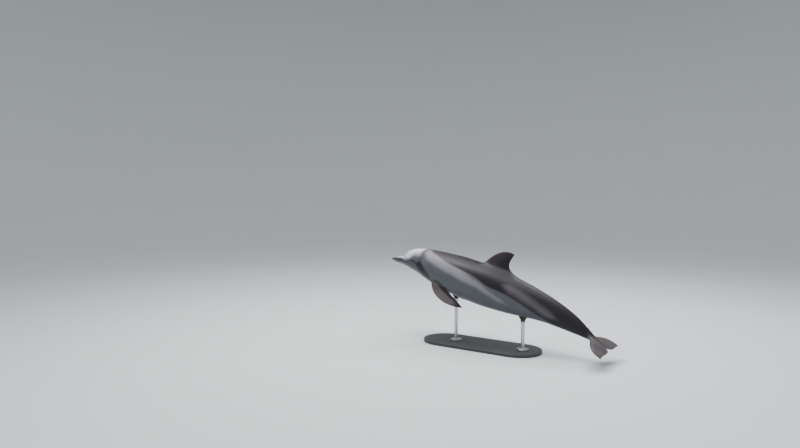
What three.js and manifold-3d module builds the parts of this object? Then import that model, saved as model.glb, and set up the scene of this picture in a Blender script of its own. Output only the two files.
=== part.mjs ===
// Life-size museum model of an adult bottlenose dolphin. It glides with its head level and
// its tail swept down, on a plain display stand: a flat base and two short rods.
//
// Millimetres, +Z up. The beak points to -Y and the animal's left side is +X.
// The origin is on the floor, under the middle of the model's bounding box.
//
// A point of the body is first named by its place along the animal (mm from the beak tip)
// and its section there (across and up from the centreline). The centreline is then bent.

import * as THREE from "three";
import { ParametricGeometry } from "three/addons/geometries/ParametricGeometry.js";
import { mergeVertices } from "three/addons/utils/BufferGeometryUtils.js";
import Module from "manifold-3d";

const wasm = await Module();
wasm.setup();

// ---------- driving dimensions ----------

const BODY_END = 2376; // beak tip to the end of the stock, between the flukes
const GAP = 0.4; // between neighbouring pieces

// How far the animal's back-going direction points below the horizon, in degrees
const HEAD_PITCH = 2.7;
const NECK_BEND = { by: 10.8, from: 60, to: 620 };
const TAIL_BEND = { by: 18.7, from: 1350, to: 2400 };

// Sections of the body: distance from the beak tip, then how far the skin stands above,
// below and beside the centreline. "square" is the superellipse power: 2 is an ellipse,
// less is keeled, more is boxy.
const SECTIONS = [
  { place: "front of the beak", at: 28, top: 18, bottom: 26, side: 25, square: 2.2 },
  { place: "middle of the beak", at: 85, top: 25, bottom: 40, side: 34, square: 2.2 },
  { place: "base of the beak", at: 156, top: 33, bottom: 53, side: 47, square: 2.15 },
  { place: "front of the melon", at: 215, top: 117, bottom: 67, side: 75, square: 2.1 },
  { place: "lips", at: 290, top: 132, bottom: 84, side: 107, square: 2.1 },
  { place: "behind the gape", at: 375, top: 150, bottom: 105, side: 133, square: 2.1 },
  { place: "behind the eye", at: 485, top: 167, bottom: 137, side: 160, square: 2.05 },
  { place: "chest", at: 640, top: 184, bottom: 173, side: 179, square: 2 },
  { place: "deepest", at: 900, top: 202, bottom: 202, side: 190, square: 2 },
  { place: "front of the fin", at: 1100, top: 202, bottom: 206, side: 183, square: 2 },
  { place: "back of the fin", at: 1390, top: 176, bottom: 190, side: 158, square: 1.95 },
  { place: "vent", at: 1730, top: 128, bottom: 137, side: 104, square: 1.8 },
  { place: "stock", at: 2000, top: 88, bottom: 86, side: 57, square: 1.65 },
  { place: "narrow of the stock", at: 2190, top: 50, bottom: 47, side: 28, square: 1.7 },
  { place: "between the flukes", at: 2290, top: 26, bottom: 25, side: 19, square: 1.9 },
  { place: "end of the stock", at: BODY_END, top: 8, bottom: 8, side: 7, square: 2 },
];

const BEAK = { round: 34, overbite: 7 }; // the lower jaw leads the upper one
const TAIL_ROUND = 26;

// The melon rises behind a crease across the beak. The crease runs back down the sides of
// the head towards the gape, growing softer.
const MELON = { crease: 150, length: 150, round: 1.85, slant: 170, sharp: 5, soft: 26 };

// Height of the mouth line: it falls gently to the gape, where it turns up.
const MOUTH = { start: -1, fall: 19, gape: 330, smile: 11, smileFrom: 225 };

const EYE = { at: 432, up: 8, radius: 15.5, proud: 3 };
const BLOWHOLE = { at: 440, halfWidth: 19, bow: 11, width: 4, depth: 7 };

// Each fin's front and back edge is a cubic curve, given by its root, two handles and its
// tip: [how far back, how far out]. "sunk" is the root's depth under the skin, "thickness"
// a share of the chord, and the root swells by "flare" over the first "flareOver" of span.
const DORSAL_FIN = {
  at: 1058,
  front: [[0, 0], [66, 78], [158, 216], [298, 199]],
  back: [[382, 0], [244, 44], [254, 78], [298, 199]],
  sunk: 60,
  thickness: 0.145,
  flare: 0.6,
  flareOver: 0.25,
};

const FLIPPER = {
  at: 636,
  up: -90,
  across: 115,
  front: [[-62, 0], [-139, 71], [-99, 277], [74, 432]],
  back: [[62, 0], [26, 109], [56, 212], [74, 432]],
  sunk: 60,
  thickness: 0.15,
  flare: 0.6,
  flareOver: 0.25,
  sweep: 30, // degrees below the back-going direction
  splay: 12, // degrees out from the body
  twist: 3, // degrees, the front edge turned in under the body
};

const FLUKE = {
  front: [[2222, 0], [2292, 104], [2295, 297], [2448, 268]],
  back: [[2402, 0], [2476, 48], [2422, 180], [2448, 268]],
  sunk: 0,
  thickness: 0.13,
  flare: 0.5,
  flareOver: 0.16,
  droop: 8, // of the tips
};

const FLUKE_CLEARANCE = 120; // from the floor to the lowest point of the flukes

const STAND = {
  baseLength: 1240,
  baseWidth: 460,
  baseHeight: 30,
  baseAt: 1085,
  bevel: 5,
  rods: { front: 800, rear: 1540 }, // distances from the beak tip
  rodRadius: 17,
  flangeRadius: 58,
  flangeHeight: 10,
  padRadius: 40,
  padHeight: 46,
};

// How many flat facets each shape has, round it and along it
const BODY_COLUMNS = 36;
const BODY_ROWS = [
  { to: 34, steps: 4 },
  { to: 140, steps: 4 },
  { to: 330, steps: 13 },
  { to: 500, steps: 5 },
  { to: 2100, steps: 20 },
  { to: BODY_END, steps: 7 },
];
const FIN_COLUMNS = 16;
const FIN_ROWS = 10;

const SKIN = { color: 0x666a73, roughness: 0.42, metalness: 0 };
const FIN_SKIN = { color: 0x3d3e45, roughness: 0.42, metalness: 0 };
const THROAT_SKIN = { color: 0x8d929b, roughness: 0.42, metalness: 0 };
const EYE_GLASS = { color: 0x17120f, roughness: 0.08, metalness: 0 };
const DARK_PAINT = { color: 0x2b2d30, roughness: 0.5, metalness: 0.2 };
const SATIN_STEEL = { color: 0x8f9397, roughness: 0.32, metalness: 0.9 };

// ---------- small mathematics ----------

const radians = THREE.MathUtils.degToRad;
const clamp01 = (x) => THREE.MathUtils.clamp(x, 0, 1);
const ease = (x, from, to) => THREE.MathUtils.smoothstep(x, from, to);

// A rise from 0 to 1 that starts upright and ends level, as the side of a superellipse
const dome = (x, power = 2) => (1 - (1 - clamp01(x)) ** power) ** (1 / power);

// The larger of two values, with the corner between them rounded over "blend"
const blendedMax = (a, b, blend) => (a + b + Math.hypot(a - b, blend)) / 2;

// A monotone cubic through the stations' values, which never overshoots them
function smoothProfile(stations, key) {
  const xs = stations.map((station) => station.at);
  const ys = stations.map((station) => station[key]);
  const steps = xs.slice(1).map((x, i) => x - xs[i]);
  const slopes = steps.map((step, i) => (ys[i + 1] - ys[i]) / step);
  const tangents = ys.map((_, i) => {
    const before = slopes[Math.max(i - 1, 0)];
    const after = slopes[Math.min(i, slopes.length - 1)];
    return before * after <= 0 ? 0 : (2 * before * after) / (before + after);
  });
  return (x) => {
    const beyond = xs.findIndex((station) => station > x);
    const i = beyond < 0 ? xs.length - 2 : Math.max(beyond - 1, 0);
    const t = clamp01((x - xs[i]) / steps[i]);
    const rise = t * t * (3 - 2 * t);
    const lift = t * (1 - t) * steps[i];
    const bend = tangents[i] * (1 - t) - tangents[i + 1] * t;
    return ys[i] + (ys[i + 1] - ys[i]) * rise + bend * lift;
  };
}

// ---------- centreline ----------

const pitchAt = (at) =>
  radians(
    HEAD_PITCH +
      NECK_BEND.by * ease(at, NECK_BEND.from, NECK_BEND.to) +
      TAIL_BEND.by * ease(at, TAIL_BEND.from, TAIL_BEND.to),
  );

// The centreline's points every few millimetres, added up from its pitch
const CENTRE_STEP = 4;
const centreline = [new THREE.Vector3()];
for (let at = 0; at < BODY_END + 200; at += CENTRE_STEP) {
  const pitch = pitchAt(at + CENTRE_STEP / 2);
  const step = new THREE.Vector3(0, Math.cos(pitch), -Math.sin(pitch));
  centreline.push(centreline.at(-1).clone().addScaledVector(step, CENTRE_STEP));
}

function centreAt(at) {
  const place = Math.max(at, 0) / CENTRE_STEP;
  const i = Math.min(Math.floor(place), centreline.length - 2);
  return centreline[i].clone().lerp(centreline[i + 1], place - i);
}

// The frame of the body at a place: rows are across (left), back and up
function frameAt(at) {
  const pitch = pitchAt(at);
  return {
    origin: centreAt(at),
    across: new THREE.Vector3(1, 0, 0),
    back: new THREE.Vector3(0, Math.cos(pitch), -Math.sin(pitch)),
    up: new THREE.Vector3(0, Math.sin(pitch), Math.cos(pitch)),
  };
}

// A point given along, across and up the straight animal, where the bent animal has it
function bodyPoint(at, across, up) {
  const frame = frameAt(at);
  return frame.origin.addScaledVector(frame.across, across).addScaledVector(frame.up, up);
}

// ---------- body surface ----------

const profile = Object.fromEntries(
  ["top", "bottom", "side", "square"].map((key) => [key, smoothProfile(SECTIONS, key)]),
);

// Height of the upper skin on a ray with this "sine" of its height. The melon starts
// further back on the lower rays, which is what slants the crease.
function topAt(at, sine) {
  const { crease, length, round, slant, sharp, soft } = MELON;
  const low = (1 - sine) ** 1.4;
  const beak = profile.top(Math.min(at, crease)) * dome((at - BEAK.overbite) / BEAK.round);
  const melon = profile.top(Math.max(at, crease + 60)) * dome((at - crease - slant * low) / length, round);
  return blendedMax(beak, melon, (sharp + soft * low) * ease(at, 0, crease));
}

// A point of the skin. "turn" is 0 on the left side, a quarter on the back, three quarters
// on the belly. "grow" moves the whole skin out.
function skinPoint(at, turn, grow = 0) {
  const angle = 2 * Math.PI * turn;
  const cosine = Math.cos(angle);
  const sine = Math.sin(angle);
  const end = dome(at / BEAK.round) * dome((BODY_END - at) / TAIL_ROUND);
  const power = 2 / profile.square(at);
  const side = (profile.side(at) + grow) * end;
  const height = sine > 0 ? topAt(at, sine) + grow : (profile.bottom(at) + grow) * end;
  const upward = sine > 0 ? height * dome((BODY_END - at) / TAIL_ROUND) : height;
  return bodyPoint(
    at,
    side * Math.sign(cosine) * Math.abs(cosine) ** power,
    upward * Math.sign(sine) * Math.abs(sine) ** power,
  );
}

function bodyRows() {
  const rows = [0];
  for (const { to, steps } of BODY_ROWS) {
    const from = rows.at(-1);
    for (let i = 1; i <= steps; i++) rows.push(from + ((to - from) * i) / steps);
  }
  return rows;
}

function bodyGeometry(grow = 0) {
  const rows = bodyRows();
  const last = rows.length - 1;
  const surface = (turn, along, target) => {
    const at = rows[Math.round(along * last)];
    const onAxis = at === 0 || at === BODY_END;
    const from = at === 0 ? -grow : grow;
    const point = onAxis ? bodyPoint(at, 0, 0) : skinPoint(at, turn % 1, grow);
    if (onAxis) point.addScaledVector(frameAt(at).back, from);
    target.copy(point);
  };
  return new ParametricGeometry(surface, BODY_COLUMNS, last);
}

// ---------- fins ----------

// Half the thickness of a fin's section at a share of its chord: full near the front,
// fine at the back, with a rounded edge that never comes to nothing
function foil(share, thickness) {
  const rounded = 1.4845 * Math.sqrt(share) - 0.63 * share;
  const tapered = -1.758 * share ** 2 + 1.4215 * share ** 3 - 0.518 * share ** 4;
  return Math.max(rounded + tapered, 0) * thickness + 3 * Math.sqrt(share * (1 - share));
}

const edgeCurve = (points) =>
  new THREE.CubicBezierCurve(...points.map(([back, out]) => new THREE.Vector2(back, out)));

// A closed fin, lofted from its root to its tip. "place" puts a point of the fin's own
// plane, and its thickness there, on the animal.
function finGeometry(fin, place) {
  const front = edgeCurve(fin.front);
  const back = edgeCurve(fin.back);
  const last = FIN_ROWS + 2;
  const surface = (turn, along, target) => {
    const row = Math.round(along * last);
    const span = THREE.MathUtils.clamp((row - 1) / FIN_ROWS, 0, 1);
    const closing = row === 0 || row === last;
    const side = closing ? 0 : Math.sign(Math.sin(2 * Math.PI * (turn % 1)));
    const share = closing ? 0.5 : (1 + Math.cos(2 * Math.PI * turn)) / 2;
    const edge = 1 - (1 - span) ** 1.3;
    const from = front.getPoint(edge);
    const to = back.getPoint(edge);
    const swell = 1 + fin.flare * Math.max(0, 1 - edge / fin.flareOver) ** 2;
    const thick = foil(share, from.distanceTo(to) * fin.thickness * swell);
    const point = from.lerp(to, share);
    if (row < 2) point.y -= fin.sunk;
    target.copy(place(point.x, point.y, side * thick));
  };
  return new ParametricGeometry(surface, FIN_COLUMNS, last);
}

function onBack(back, out, thick) {
  const at = DORSAL_FIN.at + back;
  return bodyPoint(at, thick, profile.top(at) + out);
}

function onShoulder(back, out, thick, mirror) {
  const frame = frameAt(FLIPPER.at);
  const sweep = radians(FLIPPER.sweep);
  const splay = radians(FLIPPER.splay);
  const reach = new THREE.Vector3()
    .addScaledVector(frame.back, Math.cos(sweep) * Math.cos(splay))
    .addScaledVector(frame.up, -Math.sin(sweep) * Math.cos(splay))
    .addScaledVector(frame.across, Math.sin(splay));
  const forward = new THREE.Vector3()
    .addScaledVector(frame.back, -Math.sin(sweep))
    .addScaledVector(frame.up, -Math.cos(sweep))
    .applyAxisAngle(reach, radians(FLIPPER.twist));
  const normal = new THREE.Vector3().crossVectors(reach, forward).normalize();
  const point = bodyPoint(FLIPPER.at, FLIPPER.across, FLIPPER.up)
    .addScaledVector(reach, out)
    .addScaledVector(forward, -back)
    .addScaledVector(normal, thick);
  point.x *= mirror;
  return point;
}

const FLUKE_SPAN = FLUKE.front[3][1];
function onStock(back, out, thick, mirror) {
  const droop = FLUKE.droop * (out / FLUKE_SPAN) ** 2;
  return bodyPoint(back, mirror * (out + (GAP / 2) * (1 - out / FLUKE_SPAN)), thick - droop);
}

// ---------- solids ----------

// A closed geometry as a solid, with shared vertices merged and flat triangles dropped
function solidOf(geometry) {
  const bare = geometry.clone();
  for (const unused of ["normal", "uv"]) bare.deleteAttribute(unused);
  const merged = mergeVertices(bare, 1e-3);
  const index = merged.index.array;
  const corners = [];
  for (let i = 0; i < index.length; i += 3) {
    const [a, b, c] = index.slice(i, i + 3);
    if (a !== b && b !== c && c !== a) corners.push(a, b, c);
  }
  const build = (triangles) =>
    new wasm.Manifold(
      new wasm.Mesh({
        numProp: 3,
        vertProperties: new Float32Array(merged.attributes.position.array),
        triVerts: new Uint32Array(triangles),
      }),
    );
  const solid = build(corners);
  return solid.volume() > 0 ? solid : build(corners.reverse());
}

const largestOf = (solid) =>
  solid.decompose().reduce((best, piece) => (piece.volume() > best.volume() ? piece : best));

function meshOf(name, solid, finish) {
  const { vertProperties, triVerts } = solid.getMesh();
  const geometry = new THREE.BufferGeometry();
  geometry.setAttribute("position", new THREE.BufferAttribute(vertProperties, 3));
  geometry.setIndex(new THREE.BufferAttribute(triVerts, 1));
  geometry.computeVertexNormals();
  const mesh = new THREE.Mesh(geometry, new THREE.MeshStandardMaterial(finish));
  mesh.name = name;
  return mesh;
}

// Everything ahead of (facing -1) or behind (facing 1) a plane across the body
const REACH = 3600;
function beyondPlane(at, facing, gap = 0) {
  const frame = frameAt(at);
  const block = new THREE.BoxGeometry(REACH, REACH, REACH);
  block.rotateX(-pitchAt(at));
  const shift = frame.back.multiplyScalar(facing * (REACH / 2 + gap));
  block.translate(...frame.origin.add(shift).toArray());
  return solidOf(block);
}

const lengthOfBody = (solid, from, to) => {
  const trimmed = from > 0 ? solid.subtract(beyondPlane(from, -1, -GAP / 2)) : solid;
  return to < BODY_END ? trimmed.subtract(beyondPlane(to, 1, -GAP / 2)) : trimmed;
};

// ---------- jaw ----------

const mouthHeight = (at) =>
  MOUTH.start -
  (MOUTH.fall * at) / MOUTH.gape +
  MOUTH.smile * ease(at, MOUTH.smileFrom, MOUTH.gape);

// All that lies under the mouth line and ahead of the jaw's hinge, seen from the side
function belowMouth(gap) {
  const steps = 12;
  const line = [];
  for (let i = 0; i <= steps; i++) {
    const at = ((MOUTH.gape - gap) * i) / steps;
    line.push(bodyPoint(at, 0, mouthHeight(at) - gap));
  }
  const ahead = line[0].clone().setY(-40);
  const deep = [bodyPoint(MOUTH.gape + 20 - gap, 0, -240), ahead.clone().setZ(-240)];
  const outline = [ahead, ...line, ...deep].map((point) => new THREE.Vector2(point.y, point.z));
  const block = new THREE.ExtrudeGeometry(new THREE.Shape(outline), { depth: 400, bevelEnabled: false });
  block.translate(0, 0, -200);
  // the outline's x and y become the model's Y and Z
  const [x, y, z] = [0, 1, 2].map((axis) => new THREE.Vector3().setComponent(axis, 1));
  block.applyMatrix4(new THREE.Matrix4().makeBasis(y, z, x));
  return solidOf(block);
}

// ---------- eyes and blowhole ----------

// The middle of an eyeball, set so far in that only its front stands out of the skin
function eyeCentre(mirror) {
  const top = topAt(EYE.at, 0);
  const sine = EYE.up / (EYE.up > 0 ? top : profile.bottom(EYE.at));
  const across = profile.side(EYE.at) * Math.sqrt(1 - sine * sine);
  return bodyPoint(EYE.at, mirror * (across + EYE.proud - EYE.radius), EYE.up);
}

function eyeGeometry(mirror, grow = 0) {
  const ball = new THREE.SphereGeometry(EYE.radius + grow, 14, 10);
  ball.rotateZ(Math.PI / 2);
  ball.translate(...eyeCentre(mirror).toArray());
  return ball;
}

// A crescent slit across the top of the head, its ends turned forward
function blowholeGeometry() {
  const { at, halfWidth, bow, width, depth } = BLOWHOLE;
  const points = [-1, -0.5, 0, 0.5, 1].map((side) => {
    const place = at - bow * side * side;
    return bodyPoint(place, halfWidth * side, profile.top(place) - 1.5 * side * side);
  });
  const section = new THREE.Shape();
  section.absellipse(0, 0, depth, width / 2, 0, 2 * Math.PI);
  return new THREE.ExtrudeGeometry(section, {
    steps: 8,
    curveSegments: 3,
    extrudePath: new THREE.CatmullRomCurve3(points),
  });
}

// ---------- the animal ----------

const body = solidOf(bodyGeometry());
const clearance = solidOf(bodyGeometry(GAP)); // what neighbours are cut by
const sockets = solidOf(eyeGeometry(1, GAP)).add(solidOf(eyeGeometry(-1, GAP)));
const carved = body.subtract(sockets).subtract(solidOf(blowholeGeometry()));

const animal = new THREE.Group();

const jaw = carved.intersect(belowMouth(GAP / 2));
const aboveJaw = carved.subtract(belowMouth(-GAP / 2));
animal.add(meshOf("jaw_lower", largestOf(jaw), THROAT_SKIN));

const LENGTHS = [
  { name: "beak_upper", from: 0, to: 146 },
  { name: "melon", from: 146, to: 366 },
  { name: "head", from: 366, to: 500 },
  { name: "neck", from: 500, to: 610 },
  { name: "trunk_chest", from: 610, to: 920 },
  { name: "trunk_middle", from: 920, to: 1240 },
  { name: "trunk_rear", from: 1240, to: 1620 },
  { name: "tail_stock_front", from: 1620, to: 1960 },
  { name: "tail_stock_rear", from: 1960, to: BODY_END },
];
for (const { name, from, to } of LENGTHS) {
  animal.add(meshOf(name, largestOf(lengthOfBody(aboveJaw, from, to)), SKIN));
}

for (const [side, mirror] of [["left", 1], ["right", -1]]) {
  const flipper = finGeometry(FLIPPER, (...point) => onShoulder(...point, mirror));
  const fluke = finGeometry(FLUKE, (...point) => onStock(...point, mirror));
  animal.add(
    meshOf(`flipper_${side}`, largestOf(solidOf(flipper).subtract(clearance)), FIN_SKIN),
    meshOf(`fluke_${side}`, largestOf(solidOf(fluke).subtract(clearance)), FIN_SKIN),
    meshOf(`eye_${side}`, solidOf(eyeGeometry(mirror)), EYE_GLASS),
  );
}
const dorsalFin = solidOf(finGeometry(DORSAL_FIN, onBack)).subtract(clearance);
animal.add(meshOf("dorsal_fin", largestOf(dorsalFin), FIN_SKIN));

// ---------- where the animal hangs ----------

const bounds = new THREE.Box3().setFromObject(animal);
const floor = bounds.min.z - FLUKE_CLEARANCE;

// ---------- stand ----------

function basePlate() {
  const { baseLength, baseWidth, baseHeight, bevel } = STAND;
  const radius = baseWidth / 2 - bevel;
  const straight = baseLength / 2 - bevel - radius;
  const outline = new THREE.Shape();
  outline.absarc(straight, 0, radius, -Math.PI / 2, Math.PI / 2);
  outline.absarc(-straight, 0, radius, Math.PI / 2, (3 * Math.PI) / 2);
  const plate = new THREE.ExtrudeGeometry(outline, {
    depth: baseHeight - 2 * bevel,
    bevelThickness: bevel,
    bevelSize: bevel,
    bevelSegments: 2,
    curveSegments: 14,
  });
  plate.translate(0, 0, bevel);
  plate.rotateZ(Math.PI / 2);
  return plate;
}

// A lathed disc or rod that stands upright, with a small chamfer round its top
function turned(radius, height, chamfer) {
  const outline = [
    [0, 0],
    [radius, 0],
    [radius, height - chamfer],
    [radius - chamfer, height],
    [0, height],
  ];
  const shape = new THREE.LatheGeometry(outline.map(([r, z]) => new THREE.Vector2(r, z)), 28);
  return shape.rotateX(Math.PI / 2);
}

function addStandPiece(name, solid, finish, y, z) {
  const mesh = meshOf(name, solid, finish);
  mesh.position.set(0, y, z);
  stand.add(mesh);
}

const stand = new THREE.Group();
const plate = solidOf(basePlate());
addStandPiece("stand_base", plate, DARK_PAINT, centreAt(STAND.baseAt).y, floor);

for (const [end, at] of Object.entries(STAND.rods)) {
  const y = centreAt(at).y;
  const plateTop = floor + STAND.baseHeight;
  const flangeTop = plateTop + GAP + STAND.flangeHeight;
  const belly = skinPoint(at, 0.75).z;
  const padFoot = belly - STAND.padHeight;
  const rodLength = padFoot - flangeTop - 2 * GAP;

  const pad = solidOf(turned(STAND.padRadius, STAND.padHeight * 2, 2).translate(0, y, padFoot));
  const padOnBelly = largestOf(pad.subtract(clearance)).translate([0, -y, -padFoot]);

  const flange = solidOf(turned(STAND.flangeRadius, STAND.flangeHeight, 3));
  const rod = solidOf(turned(STAND.rodRadius, rodLength, 1));
  addStandPiece(`stand_flange_${end}`, flange, SATIN_STEEL, y, plateTop + GAP);
  addStandPiece(`stand_rod_${end}`, rod, SATIN_STEEL, y, flangeTop + GAP);
  addStandPiece(`stand_pad_${end}`, padOnBelly, DARK_PAINT, y, padFoot);
}

// ---------- the model ----------

const model = new THREE.Group();
model.add(animal, stand);
model.position.set(0, -(bounds.min.y + bounds.max.y) / 2, -floor);

export default model;
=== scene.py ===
"""A life-size bottlenose dolphin, finished for display on its stand.

The animal's flesh is one skin, built from the same sections and edge curves as the solid
model and carried on to the folds, lids and lips. Lengths in the shape code are millimetres
along the animal; they become metres when a mesh is made.
"""

import math

import bmesh
import bpy
import numpy as np
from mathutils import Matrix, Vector


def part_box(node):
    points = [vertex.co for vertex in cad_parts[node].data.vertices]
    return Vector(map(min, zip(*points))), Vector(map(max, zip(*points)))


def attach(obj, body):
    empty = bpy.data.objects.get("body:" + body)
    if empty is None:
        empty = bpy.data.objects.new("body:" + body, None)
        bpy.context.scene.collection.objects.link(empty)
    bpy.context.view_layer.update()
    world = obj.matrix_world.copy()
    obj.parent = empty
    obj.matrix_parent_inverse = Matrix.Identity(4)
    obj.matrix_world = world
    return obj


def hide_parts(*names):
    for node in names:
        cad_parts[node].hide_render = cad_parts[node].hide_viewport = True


bl_info = {
    "name": "Museum dolphin",
    "version": (1, 0, 0),
    "blender": (4, 5, 0),
    "location": "View3D > Sidebar > Dolphin",
    "description": "Builds a life-size bottlenose dolphin on its display stand",
    "category": "Add Mesh",
}

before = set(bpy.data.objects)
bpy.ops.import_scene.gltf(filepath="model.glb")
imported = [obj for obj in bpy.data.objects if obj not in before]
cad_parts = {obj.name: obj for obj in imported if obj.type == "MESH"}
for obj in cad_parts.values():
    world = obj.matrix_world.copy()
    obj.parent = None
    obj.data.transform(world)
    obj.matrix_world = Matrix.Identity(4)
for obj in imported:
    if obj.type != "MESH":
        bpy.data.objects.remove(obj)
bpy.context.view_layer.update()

MM = 0.001

# ---------------------------------------------------------------- sizes of the animal

BODY_END = 2376.0
STOCK_END = 2186.0  # where the skin of the stock starts to open into the flukes
HEAD_PITCH = 2.7
NECK_BEND = (10.8, 60.0, 620.0)
TAIL_BEND = (18.7, 1350.0, 2400.0)

# distance from the beak tip, then the skin's top, bottom, side and superellipse power
SECTIONS = np.array(
    [
        (28, 18, 26, 25, 2.2),
        (85, 25, 40, 34, 2.2),
        (156, 33, 53, 47, 2.15),
        (215, 117, 67, 75, 2.1),
        (290, 132, 84, 107, 2.1),
        (375, 150, 105, 133, 2.1),
        (485, 167, 137, 160, 2.05),
        (640, 184, 173, 179, 2.0),
        (900, 202, 202, 190, 2.0),
        (1100, 202, 206, 183, 2.0),
        (1390, 176, 190, 158, 1.95),
        (1730, 128, 137, 104, 1.8),
        (2000, 88, 86, 57, 1.65),
        (2190, 50, 47, 28, 1.7),
        (2290, 26, 25, 19, 1.9),
        (BODY_END, 8, 8, 7, 2.0),
    ]
)
BEAK_ROUND, BEAK_BLUNT = 48.0, 2.6  # length of the tip's rounding, and its power
BEAK_LIP = 0.35  # share of the upper side's height at the very tip, which is the lower lip
TAIL_ROUND = 26.0
MELON = dict(crease=150.0, length=150.0, round=1.85, slant=170.0, sharp=5.0, soft=26.0)
MOUTH = dict(start=-1.0, front=3.6, fall=19.0, gape=330.0, smile=11.0, smile_from=225.0)
# room is how far the grid is opened: for the eye along and up, for the blowhole ahead,
# behind and across; the blowhole's rings run round a centre that lies ahead of its slit
EYE = dict(at=432.0, up=8.0, radius=15.5, proud=3.0, tilt=0.11, room=(31, 25))
BLOWHOLE = dict(at=440.0, half_width=19.0, bow=11.0, centre=4.0, room=(30, 26, 38))

DORSAL_FIN = dict(
    at=1058.0,
    front=((0, 0), (66, 78), (158, 216), (298, 199)),
    back=((382, 0), (244, 44), (254, 78), (298, 199)),
    thickness=0.145,
    flare=0.6,
    flare_over=0.25,
)
FLIPPER = dict(
    at=636.0,
    up=-90.0,
    across=115.0,
    front=((-62, 0), (-139, 71), (-99, 277), (74, 432)),
    back=((62, 0), (26, 109), (56, 212), (74, 432)),
    thickness=0.15,
    flare=0.6,
    flare_over=0.25,
    sweep=30.0,
    splay=12.0,
    twist=3.0,
)
FLUKE = dict(
    front=((2222, 0), (2292, 104), (2295, 297), (2448, 268)),
    back=((2402, 0), (2476, 48), (2422, 180), (2448, 268)),
    thickness=0.13,
    flare=0.5,
    flare_over=0.16,
    droop=8.0,
)

FIN_WAVE, FLIPPER_CURL = 2.0, 14.0  # how far the dorsal fin waves and a flipper's tip bows

# which part of the animal a vertex belongs to; between two of them it is a rounded root
BODY_PART, DORSAL_PART, FLIPPER_PART, FLUKE_PART, INNER_PART = 0.0, 1.0, 2.0, 4.0, 5.0
# how each fin's root is rounded: where the fin itself starts, in mm off the body, how far the
# collar of skin reaches from the root and how much more ahead of it, the room left round the
# collar, the rings of the fin and of the rounding, and the fin's part
DORSAL_ROOT = dict(
    clear=36, collar=32, ahead=26, margin=14, fin_rows=40, fillet_rows=14, part=DORSAL_PART
)
FLIPPER_ROOT = dict(
    clear=14, collar=26, ahead=0, margin=12, fin_rows=42, fillet_rows=14, part=FLIPPER_PART
)
COLLAR_STEPS = (0.22, 0.42, 0.6, 0.75, 0.88, 1.0)  # its rings, from the grid to the root
FIN_COLUMNS = 120  # columns round a fin while its root is being found
BLADE_END = 0.994  # span of a fin's last ring, just inside its tip

# ---------------------------------------------------------------- small mathematics


def ease(x, low, high):
    """Rises from 0 at low to 1 at high, flat at both ends."""
    t = np.clip((np.asarray(x, float) - low) / (high - low), 0, 1)
    return t * t * (3 - 2 * t)


def bump(x, width):
    """A smooth hump of height 1 that is down to a third one width out."""
    return np.exp(-((np.asarray(x, float) / width) ** 2))


def dome(x, power=2.0):
    """Rises from 0 to 1 upright at first and flat at the end, like a quarter circle."""
    return (1 - (1 - np.clip(x, 0, 1)) ** power) ** (1 / power)


def blended_max(a, b, blend):
    """The larger of two values, with the corner between them rounded by the blend."""
    return (a + b + np.hypot(a - b, blend)) / 2


def profile_of(stations, values):
    """A monotone cubic through the stations, which never overshoots them."""
    xs, ys = np.asarray(stations, float), np.asarray(values, float)
    steps = np.diff(xs)
    slopes = np.diff(ys) / steps
    before = np.concatenate([slopes[:1], slopes])
    after = np.concatenate([slopes, slopes[-1:]])
    total = before + after
    agree = before * after > 0
    tangents = np.where(agree, 2 * before * after / np.where(agree, total, 1), 0)

    def profile(x):
        x = np.asarray(x, float)
        i = np.clip(np.searchsorted(xs, x, side="right") - 1, 0, len(xs) - 2)
        t = np.clip((x - xs[i]) / steps[i], 0, 1)
        bend = tangents[i] * (1 - t) - tangents[i + 1] * t
        rise = t * t * (3 - 2 * t)
        return ys[i] + (ys[i + 1] - ys[i]) * rise + bend * t * (1 - t) * steps[i]

    return profile


def cubic(points, t):
    """A point of the Bezier curve through the first and last of four points."""
    a, b, c, d = (np.asarray(p, float) for p in points)
    t = np.asarray(t, float)[..., None]
    u = 1 - t
    return u**3 * a + 3 * u * u * t * b + 3 * u * t * t * c + t**3 * d


def unit(vectors):
    return vectors / np.maximum(np.linalg.norm(vectors, axis=-1, keepdims=True), 1e-9)


def turned_near(turn, centre):
    """Turns counted so that they lie within half a turn of the centre."""
    return centre + (turn - centre + 0.5) % 1.0 - 0.5


# ---------------------------------------------------------------- centreline and body

TOP, BOTTOM, SIDE, POWER = (profile_of(SECTIONS[:, 0], SECTIONS[:, k]) for k in (1, 2, 3, 4))


def pitch_at(at):
    """How far the centreline slopes down, in radians."""
    neck, tail = NECK_BEND, TAIL_BEND
    degrees = HEAD_PITCH + neck[0] * ease(at, *neck[1:]) + tail[0] * ease(at, *tail[1:])
    return np.radians(degrees)


def centreline(step=4.0):
    """Distances along the bent animal, and how far behind and above the tip they lie."""
    starts = np.arange(0, BODY_END + 200, step)
    pitch = pitch_at(starts + step / 2)
    y = np.concatenate([[0], np.cumsum(np.cos(pitch) * step)])
    z = np.concatenate([[0], np.cumsum(-np.sin(pitch) * step)])
    return np.concatenate([starts, [starts[-1] + step]]), y, z


CENTRE_AT, CENTRE_Y, CENTRE_Z = centreline()


def body_point(at, across, up):
    """A point given along, across and up the straight animal, on the bent one."""
    at = np.asarray(at, float)
    y = np.interp(at, CENTRE_AT, CENTRE_Y)
    z = np.interp(at, CENTRE_AT, CENTRE_Z)
    pitch = pitch_at(at)
    parts = np.broadcast_arrays(across, y + up * np.sin(pitch), z + up * np.cos(pitch))
    return np.stack(parts, -1)


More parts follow.
